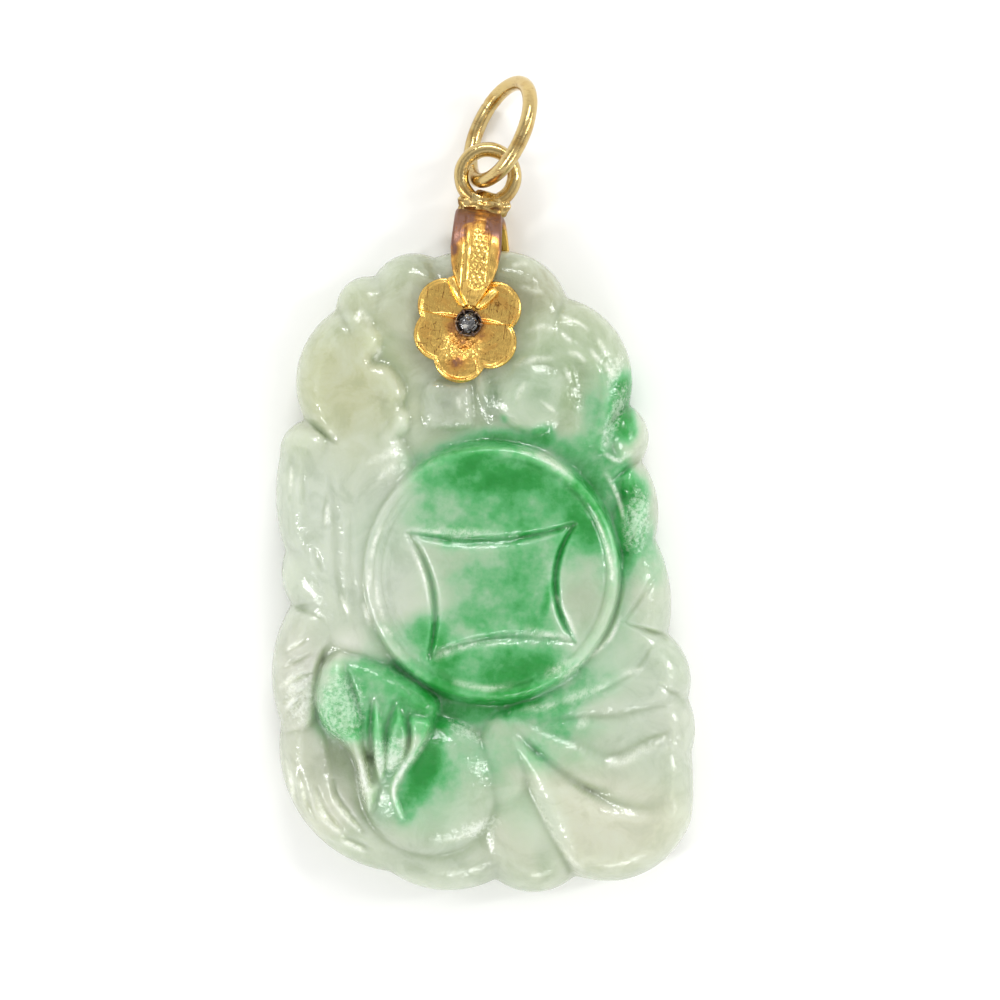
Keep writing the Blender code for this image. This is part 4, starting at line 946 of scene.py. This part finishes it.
def worn_gold(name, shades, smooth, dull, cracked):
    """Gold, rubbed bright with fine scratches, and tarnished purple brown in the sheltered
    places: metallic 1, with a roughness that runs from smooth to dull."""
    made, tree, place = new_material(name)
    tarnish = add(tree, "Attribute", attribute_name="tarnish").outputs["Fac"]
    scuff = add(tree, "TexNoise", {"Vector": place, "Scale": 1.1, "Detail": 5.0,
                                   "Roughness": 0.6, "Distortion": 0.4})
    lean = add(tree, "Mapping", {"Vector": place, "Rotation": (0, 0, 0.7),
                                 "Scale": (9.0, 0.9, 1.0)})
    scratch = add(tree, "TexNoise", {"Vector": lean, "Scale": 1.3, "Detail": 4.0,
                                     "Roughness": 0.6})
    loose = add(tree, "MapRange", {0: scuff, 1: 0.35, 2: 0.65, 3: -0.2, 4: 0.2})
    share = add(tree, "Math", {0: tarnish, 1: loose}, operation="ADD")
    share = add(tree, "MapRange", {0: share, 1: 0.25, 2: 0.85})
    colour = add(tree, "ValToRGB", {0: share}, stops=tuple(zip((0.0, 0.45, 0.75, 1.0), shades)))
    pit = add(tree, "TexVoronoi", {"Vector": place, "Scale": 2.2}).outputs["Distance"]
    pit = add(tree, "MapRange", {0: pit, 1: 0.16, 2: 0.08})
    lots = add(tree, "MapRange", {0: scuff, 1: 0.50, 2: 0.60})
    pit = add(tree, "Math", {0: pit, 1: lots}, operation="MULTIPLY")
    mark = add(tree, "MapRange", {0: scratch, 1: 0.60, 2: 0.70, 3: 0.0, 4: 0.70})
    mark = add(tree, "Math", {0: mark, 1: pit}, operation="MAXIMUM")
    bent = add(tree, "Mix", {0: 0.25, 4: place, 5: scuff.outputs["Color"]}, data_type="VECTOR")
    crack = add(tree, "TexVoronoi", {"Vector": bent.outputs[1], "Scale": 1.5},
                feature="DISTANCE_TO_EDGE")
    crack = add(tree, "MapRange", {0: crack, 1: 0.035, 2: 0.012})
    few = add(tree, "MapRange", {0: scratch, 1: 0.50, 2: 0.58, 4: cracked})
    crack = add(tree, "Math", {0: crack, 1: few}, operation="MULTIPLY")
    mark = add(tree, "Math", {0: mark, 1: crack}, operation="MAXIMUM")
    colour = add(tree, "Mix", {0: mark, 6: colour, 7: linear("8A5628")}, data_type="RGBA")
    rough = add(tree, "MapRange", {0: share, 3: smooth, 4: dull})
    height = add(tree, "Math", {0: scuff, 1: scratch}, operation="SUBTRACT")
    relief = add(tree, "Bump", {"Strength": 0.42, "Distance": 0.00004, "Height": height})
    metal = add(tree, "BsdfPrincipled", {"Base Color": colour.outputs[2], "Metallic": 1.0,
                                         "Roughness": rough, "Normal": relief})
    add(tree, "OutputMaterial", {"Surface": metal})
    return made


gold = worn_gold("Worn yellow gold", ("F4C96E", "E0AA58", "B07C4C", "8A675A"), 0.24, 0.42, 0.9)


def tarnish(piece, rule):
    """Keeps on the mesh how tarnished each spot is, by a rule of its place in millimetres."""
    values = [rule(*(spot.co / MM)) for spot in piece.data.vertices]
    piece.data.attributes.new("tarnish", "FLOAT", "POINT").data.foreach_set("value", values)


def gold_piece(name, points, faces, node, matrix=BAIL, sharp=180.0, finish=gold):
    """A gold piece from points in millimetres, standing for a node."""
    piece = new_piece(name, [Vector(point) * MM for point in points], faces, finish, sharp)
    piece.matrix_world = matrix
    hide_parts(node)
    return piece


def make_strap(columns=48):
    """Its section is a crowned bar with rounded edges; marks are sunk in the front."""
    points = []
    stations = list(strap_line())
    for share, up, high, turn in stations:
        half = float(np.interp(share, *zip(*STRAP_WIDTHS))) / 2
        skew = float(np.interp(share, *zip(*STRAP_SKEWS)))
        flat = half - STRAP_EDGE_ROUND
        section = []
        for i in range(columns + 1):
            across = flat * (2 * i / columns - 1)
            crown = 0.06 * (1 - (across / half) ** 2)
            mark = strap_marks(across, up) if turn > 0.6 else 0.0
            section.append((across, STRAP_THICKNESS / 2 - 0.05 + crown - mark))
        for i in range(1, 7):
            roll = math.pi / 2 - math.pi * i / 6
            section.append((flat + STRAP_EDGE_ROUND * math.cos(roll),
                            STRAP_EDGE_HALF * math.sin(roll)))
        section += [(half - 0.5, -0.28), (0.0, -STRAP_THICKNESS / 2), (0.5 - half, -0.28)]
        for i in range(0, 6):
            roll = -math.pi / 2 - math.pi * i / 6
            section.append((STRAP_EDGE_ROUND * math.cos(roll) - flat,
                            STRAP_EDGE_HALF * math.sin(roll)))
        for across, out in section:
            points.append((across + skew, up + out * math.cos(turn), high + out * math.sin(turn)))
        count = len(section)
    faces = band_faces(len(stations), count)
    faces += [tuple(range(count)), tuple(range(len(points) - count, len(points)))]
    return gold_piece("gold_strap", points, faces, "strap_bail", sharp=50)


strap = make_strap()


def fold_tarnish(x, y, z):
    """Strong round the fold and along the edges, and gone from the leg behind the stone."""
    fold = min(1, max(0, (y - 5.3 + 0.9 * abs(x)) / 1.6))
    edges = min(1, abs(x / 1.45) ** 4) * min(1, max(0, (y - 2.4) / 1.2))
    stains = math.sin(3.1 * x + 2 * y) * math.sin(2.3 * y - x)
    front = min(1, max(0, (z - 1.4 + 0.3 * stains) / 1.8))
    return 0.1 + front * (0.02 + 0.62 * fold + 0.35 * edges + 0.12 * stains)


tarnish(strap, fold_tarnish)


def tube(route, radii, sides=14):
    """Points and faces of a round bar along a route, with closed ends."""
    points, count = [], len(route)
    for i, spot in enumerate(route):
        before, after = route[max(i - 1, 0)], route[min(i + 1, count - 1)]
        ahead = (Vector(after) - Vector(before)).normalized()
        side = ahead.cross(Vector((0, 0, 1))).normalized()
        rise = side.cross(ahead)
        for j in range(sides):
            roll = 2 * math.pi * j / sides
            points.append(Vector(spot) + float(radii[i]) * (math.cos(roll) * side
                                                            + math.sin(roll) * rise))
    ends = [tuple(range(sides)), tuple(range(len(points) - sides, len(points)))]
    return points, band_faces(count, sides) + ends


# Two claws flank the strap's tongue, from the shoulders down to the dark stone
shares = np.linspace(0, 1, 12)
for name, side in (("left_claw", -1), ("right_claw", 1)):
    reach = 1.8 if side < 0 else 1.35
    route = [(side * (0.34 + 1.14 * t), 0.98 + reach * t, 6.0 + 0.10 * math.sin(3 * t))
             for t in shares]
    widths = [0.14 + 0.29 * math.sqrt(t * (1.15 - t) * 2) for t in shares]
    claw = gold_piece(name, *tube(route, widths), "strap_bail")
    tarnish(claw, lambda x, y, z: 0.1)


# Eye of the bail
# A ring of round pale gold wire, bent shut and soldered on top of the strap's fold. The solder
# was left as a rough blob, tarnished in patches.

EYE_BORE, EYE_WIRE = 2.5, 1.0
EYE_LOW, EYE_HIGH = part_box("bail_eye")
EYE_MIDDLE = BAIL.inverted() @ ((EYE_LOW + EYE_HIGH) / 2)


def wire_ring(bore, wire, around_steps=144, sides=28, dent=0.0, seam=None):
    """A ring of wire about Z in millimetres, a little uneven, with a seam where it closes."""
    points = []
    for i in range(around_steps):
        turn = 2 * math.pi * i / around_steps
        thin = 1 - dent * (0.5 + 0.5 * math.sin(3 * turn + 0.6) * math.sin(5 * turn))
        if seam is not None:
            apart = (turn - seam + math.pi) % (2 * math.pi) - math.pi
            thin -= 0.10 * math.exp(-(apart / 0.02) ** 2)
        for j in range(sides):
            roll = 2 * math.pi * j / sides
            reach = (bore + wire) / 2 + wire / 2 * thin * math.cos(roll)
            points.append((reach * math.cos(turn), reach * math.sin(turn),
                           wire / 2 * thin * math.sin(roll)))
    faces = [(i * sides + j, (i + 1) % around_steps * sides + j,
              (i + 1) % around_steps * sides + (j + 1) % sides, i * sides + (j + 1) % sides)
             for i in range(around_steps) for j in range(sides)]
    return points, faces


# The wire of the eye and of the loose ring is a paler gold than the strap
pale_gold = worn_gold("Polished pale gold", ("CFB67C", "BC9A5C", "96733F", "6E523E"),
                      0.14, 0.34, 0.15)
eye = gold_piece("bail_loop", *wire_ring(EYE_BORE, EYE_WIRE, dent=0.06), "bail_eye",
                 BAIL @ Matrix.Translation(EYE_MIDDLE), finish=pale_gold)
tarnish(eye, lambda x, y, z: 0.12 + 0.5 * max(0.0, -y / 1.8) ** 2
        + 0.2 * noise.noise(Vector((1.4 * x, 1.4 * y, 2.0))))


SOLDER_HALF = (1.66, 0.98, 0.72)
SOLDER_DROP = 2.0  # from the eye's middle down to the blob's


def make_solder():
    """A rough crust between the fold and the eye, run out to both sides."""
    points, faces = [], []
    rows, columns = 36, 64
    for i in range(rows + 1):
        tilt = math.pi * i / rows
        for j in range(columns):
            turn = 2 * math.pi * j / columns
            way = Vector((math.sin(tilt) * math.cos(turn), math.sin(tilt) * math.sin(turn),
                          math.cos(tilt)))
            lump = 1 + 0.22 * noise.noise(2.0 * way) + 0.07 * noise.noise(4.5 * way)
            tall = SOLDER_HALF[1] + 0.2 * way.x**2
            points.append((SOLDER_HALF[0] * lump * way.x,
                           EYE_MIDDLE.y / MM - SOLDER_DROP + tall * lump * way.y,
                           EYE_MIDDLE.z / MM + SOLDER_HALF[2] * lump * way.z))
    return gold_piece("solder_blob", points, band_faces(rows + 1, columns), "strap_bail",
                      finish=pale_gold)


solder = make_solder()
tarnish(solder, lambda x, y, z: 0.40 + 0.5 * noise.noise(Vector((2.5 * x, 2.5 * y, z))))


# Gold blossom
# A five-petal flower cast in gold: each petal is a shallow dish with a raised rim, the upper
# two lie over the lower three, and the middle is crusted where it was soldered to the strap.

BLOSSOM_BACK = 5.25
BLOSSOM_REACH = 3.65
PETAL_RADIUS = 1.7
PETALS = ((37, 0.0), (150, 0.0), (209, 0.0), (263, 0.25), (326, -0.1))


def petal_edge(turn):
    """How far the blossom reaches from its middle in one direction."""
    best = 0.0
    for degrees, longer in PETALS:
        middle = BLOSSOM_REACH + longer - PETAL_RADIUS
        apart = turn - math.radians(degrees)
        room = PETAL_RADIUS**2 - (middle * math.sin(apart)) ** 2
        if room > 0 and math.cos(apart) > 0:
            best = max(best, middle * math.cos(apart) + math.sqrt(room))
    return best


UPPER_EDGES = (-8.0, 184.0)  # degrees where the upper two petals end over the lower three
CREASES = (237.0, 290.0)  # between the lower three
CREASE_DEPTH, CREASE_HALF = 0.06, 0.10
RIM_HEIGHT, RIM_WAVE, RIM_INSET, RIM_HALF = 0.055, 0.03, 0.14, 0.11
RIM_SWELLS = ((263, 15, 0.13), (222, 12, 0.05), (320, 14, 0.04))  # degrees, reach, height
DISH_HEIGHT, DISH_RISE = 0.36, 0.09
OVERLAP_STEP, OVERLAP_ROLL = 0.14, 0.13  # of the upper petals' edge over the lower ones


def petal_height(reach, turn, edge):
    """Height of the blossom over its back. The upper petals end in a rolled edge."""
    across, up = reach * math.cos(turn), reach * math.sin(turn)
    share = reach / edge
    degrees = math.degrees(turn) % 360
    high = DISH_HEIGHT + DISH_RISE * share**2
    over = min((degrees - UPPER_EDGES[0] + 180) % 360 - 180,
               (UPPER_EDGES[1] - degrees + 180) % 360 - 180)
    inside = reach * math.radians(over) - 0.28 * math.sin(math.pi * min(1.0, share))
    high += OVERLAP_STEP / (1 + math.exp(-min(40.0, max(-40.0, inside / 0.03))))
    roll = OVERLAP_ROLL * math.exp(-((inside - 0.16) / 0.11) ** 2)
    high += roll * min(1.0, 3 * (1 - share) + 0.3)
    for crease in CREASES:
        aside = reach * math.radians(abs((degrees - crease + 180) % 360 - 180))
        high -= CREASE_DEPTH * math.exp(-(aside / CREASE_HALF) ** 2) * share
    lip = RIM_HEIGHT + RIM_WAVE * math.sin(7 * turn)
    for middle, spread, swell in RIM_SWELLS:
        lip += swell * math.exp(-((degrees - middle) / spread) ** 2)
    high += lip * math.exp(-((edge - reach - RIM_INSET) / RIM_HALF) ** 2)
    crust = math.exp(-(((across + 0.3) / 1.0) ** 2 + ((up + 1.55) / 0.8) ** 2))
    rough = noise.noise(Vector((4 * across, 4 * up, 1.5))) + 0.6 * noise.noise(
        Vector((9 * across, 9 * up, 7.5)))
    return high + 0.16 * crust * rough + 0.012 * rough


def make_blossom(segments=360, rings=60):
    points = []
    for i in range(segments):
        turn = 2 * math.pi * i / segments
        edge = petal_edge(turn)
        ring = [(0.72, 0.30), (0.76, 0.42)]
        for j in range(rings + 1):
            reach = 0.80 + (edge - 0.80) * (j / rings) ** 0.9
            ring.append((reach, petal_height(reach, turn, edge)))
        top = ring[-1][1]
        ring += [(edge + 0.05, 0.75 * top), (edge + 0.03, 0.25 * top), (edge - 0.06, 0.0)]
        points += [(r * math.cos(turn), r * math.sin(turn), z + BLOSSOM_BACK) for r, z in ring]
        loops = len(ring)
    faces = [(i * loops + j, i * loops + j + 1, (i + 1) % segments * loops + j + 1,
              (i + 1) % segments * loops + j) for i in range(segments) for j in range(loops - 1)]
    faces.append(tuple(i * loops for i in range(segments)))
    faces.append(tuple(i * loops + loops - 1 for i in range(segments)))
    return gold_piece("gold_blossom", points, faces, "blossom", sharp=60)


blossom = make_blossom()
tarnish(blossom, lambda x, y, z: 0.24 + 0.6 * math.exp(-(((x + 0.35) / 0.5) ** 2 + (
    (y + 2.6) / 0.5) ** 2)) + 0.4 * math.exp(-((math.hypot(x, y + 0.3) - 0.9) / 0.45) ** 2))


# Dark stone and its setting
# A tiny rose-cut stone, nearly black and glassy, in a blackened collet whose claws are pushed
# over its edge. A grain of bright gold sits above it.

STONE_RADIUS = 0.725
STONE_BASE = 5.72


def dark_glassy_stone():
    """A dark grey gem, mottled, with white glints painted in its colour: IOR 2.4, polished facets.
    """
    made, tree, place = new_material("Dark rose-cut gem")
    mottle_and_glints = add(tree, "TexNoise", {"Vector": place, "Scale": 2.6, "Detail": 3.0})
    # Painted highlight: the ramp's white end paints glints over the dark mottle
    colour = add(tree, "ValToRGB", {0: mottle_and_glints}, stops=(
        (0.42, "141314"), (0.58, "33302E"), (0.66, "B4AFA4")))
    chips = add(tree, "TexVoronoi", {"Vector": place, "Scale": 3.2})
    relief = add(tree, "Bump", {"Strength": 1.0, "Distance": 0.00012,
                                "Height": chips.outputs["Distance"]})
    gem = add(tree, "BsdfPrincipled", {"Base Color": colour, "Roughness": 0.08, "IOR": 2.4,
                                       "Normal": relief})
    add(tree, "OutputMaterial", {"Surface": gem})
    return made


def make_stone(sides=10):
    """A flat base, a belt of facets and a low point."""
    points = []
    for level, (reach, high) in enumerate(((1.0, 0.0), (1.0, 0.14), (0.6, 0.42))):
        for i in range(sides):
            turn = 2 * math.pi * (i + 0.5 * (level // 2)) / sides
            points.append((STONE_RADIUS * reach * math.cos(turn),
                           STONE_RADIUS * reach * math.sin(turn), STONE_BASE + high))
    points.append((0.0, 0.0, STONE_BASE + 0.55))
    faces = [tuple(range(sides))]
    for i in range(sides):
        follow = (i + 1) % sides
        faces += [(i, follow, sides + follow, sides + i),
                  (sides + i, sides + follow, 2 * sides + i),
                  (sides + follow, 2 * sides + follow, 2 * sides + i),
                  (2 * sides + i, 2 * sides + follow, 3 * sides)]
    piece = new_piece("dark_stone", [Vector(point) * MM for point in points], faces,
                      dark_glassy_stone(), 5)
    piece.matrix_world = BAIL
    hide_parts("centre_stone")
    return piece


make_stone()


def blackened_gold():
    """Gold under a black and purple film of tarnish, rough in its folds."""
    made, tree, place = new_material("Blackened gold")
    film = add(tree, "TexNoise", {"Vector": place, "Scale": 5.0, "Detail": 5.0})
    colour = add(tree, "ValToRGB", {0: film}, stops=(
        (0.35, "4A3E3C"), (0.52, "7A685C"), (0.70, "A88A60")))
    relief = add(tree, "Bump", {"Strength": 0.6, "Distance": 0.00004, "Height": film})
    metal = add(tree, "BsdfPrincipled", {"Base Color": colour, "Metallic": 1.0,
                                         "Roughness": 0.38, "Normal": relief})
    add(tree, "OutputMaterial", {"Surface": metal})
    return made


def make_setting(segments=96, claws=6):
    """A low collet with claws round its top."""
    points = []
    for i in range(segments):
        turn = 2 * math.pi * i / segments
        claw = max(0.0, math.cos(claws * turn)) ** 2
        top = 6.00 + 0.15 * claw
        wall = ((0.76, 5.58), (0.77, 5.9), (0.775 - 0.20 * claw, top), (0.86, top + 0.02),
                (0.88 + 0.07 * claw, top - 0.10), (0.90 + 0.07 * claw, 5.78),
                (0.93 + 0.06 * claw, 5.60))
        points += [(reach * math.cos(turn), reach * math.sin(turn), high)
                   for reach, high in wall]
    return gold_piece("blackened_setting", points, band_faces(segments, len(wall), True),
                      "blossom", finish=blackened_gold())


make_setting()

shares = np.linspace(0, 1, 9)
grain_route = [(0.0, 0.86 + 0.44 * t, 6.18) for t in shares]
grain_widths = [0.21 * math.sqrt(max(0.02, 1 - (2 * t - 1) ** 2)) for t in shares]
grain_bead = gold_piece("gold_grain", *tube(grain_route, grain_widths), "blossom")
tarnish(grain_bead, lambda x, y, z: 0.0)


# Loose ring
# A jump ring of round gold wire, bent shut and polished. It hangs in the eye and leans on the
# ground, so the camera sees it as a narrow oval.

RING_BORE, RING_WIRE = 5.9, 1.0
RING_TILT, RING_TURN = math.radians(62.4), math.radians(22)
RING_LOW, RING_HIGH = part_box("jump_ring")
along = Vector((math.sin(RING_TURN), math.cos(RING_TURN), 0))
rising = Vector((math.cos(RING_TURN) * math.cos(RING_TILT),
                 -math.sin(RING_TURN) * math.cos(RING_TILT), math.sin(RING_TILT)))
ring_turn = Matrix((along, rising, along.cross(rising))).transposed().to_4x4()
jump_ring = gold_piece("loose_ring", *wire_ring(RING_BORE, RING_WIRE, 240, 32, 0.03, 5.2),
                       "jump_ring", Matrix.Translation((RING_LOW + RING_HIGH) / 2) @ ring_turn,
                       finish=pale_gold)
tarnish(jump_ring, lambda x, y, z: 0.15 + 0.5 * noise.noise(Vector((0.9 * x, 0.9 * y, 4.0))))


# Ground, light and camera
# The pendant lies on white board in a light tent: large soft lamps on both sides and above
# leave white streaks along its ridges, and the stone's colour paints more white streaks there.

def white_board():
    """Matt white card."""
    made, tree, _ = new_material("Matt white card")
    card = add(tree, "BsdfPrincipled", {"Base Color": linear("F6F6F4"), "Roughness": 0.9})
    add(tree, "OutputMaterial", {"Surface": card})
    return made


BOARD_HALF = 0.4
BOARD_GAP = 0.00002  # under the pendant, so that no two faces lie in one plane

board = bpy.data.meshes.new("floor")
board.from_pydata([(x * BOARD_HALF, y * BOARD_HALF, 0)
                   for x, y in ((-1, -1), (1, -1), (1, 1), (-1, 1))], [], [(0, 1, 2, 3)])
board.materials.append(white_board())
floor = bpy.data.objects.new("floor", board)
floor.location.z = min(0.0, cad_box[0][2]) - BOARD_GAP
bpy.context.scene.collection.objects.link(floor)

MIDDLE_SPOT = Vector((0.0, 0.004, 0.004))


def lamp(name, spot, size, power):
    """A soft lamp that faces the pendant: its place and size in metres, and its watts."""
    light = bpy.data.lights.new(name, "AREA")
    light.shape = "RECTANGLE"
    light.size, light.size_y = size
    light.energy = power
    made = bpy.data.objects.new(name, light)
    made.location = spot
    made.rotation_euler = (MIDDLE_SPOT - Vector(spot)).to_track_quat("-Z", "Y").to_euler()
    bpy.context.scene.collection.objects.link(made)


lamp("lamp_left", (-0.34, -0.14, 0.30), (0.06, 0.16), 0.68)
lamp("lamp_right", (0.36, 0.10, 0.30), (0.05, 0.18), 0.58)
lamp("lamp_top", (0.04, 0.38, 0.32), (0.18, 0.05), 0.76)
lamp("lamp_front", (0.10, -0.40, 0.28), (0.18, 0.04), 0.45)

# The tent is bright all round, with a grey seam half way up and a dim round hole overhead
# for the lens.
world = bpy.data.worlds.new("Light tent")
world.use_nodes = True
sky = world.node_tree
up = add(sky, "SeparateXYZ", {0: add(sky, "TexCoord").outputs["Generated"]}).outputs["Z"]
glow = add(sky, "ValToRGB", {0: up}, stops=(
    (0.0, "FFFFFF"), (0.48, "F4F4F4"), (0.58, "7E7E7E"), (0.66, "7E7E7E"), (0.74, "F0F0F0"),
    (0.93, "EAEAEA"), (0.965, "BCBCBC"), (1.0, "A2A2A2")))
sky.links.new(glow.outputs[0], sky.nodes["Background"].inputs["Color"])
sky.nodes["Background"].inputs["Strength"].default_value = 1.02
bpy.context.scene.world = world
bpy.context.scene.view_settings.view_transform = "Standard"

camera = bpy.data.objects.new("camera", bpy.data.cameras.new("camera"))
camera.data.lens, camera.data.sensor_width = 100, 36
camera.location = (0.000555, 0.00473, 0.186)
bpy.context.scene.collection.objects.link(camera)
bpy.context.scene.camera = camera

bpy.context.view_layer.update()
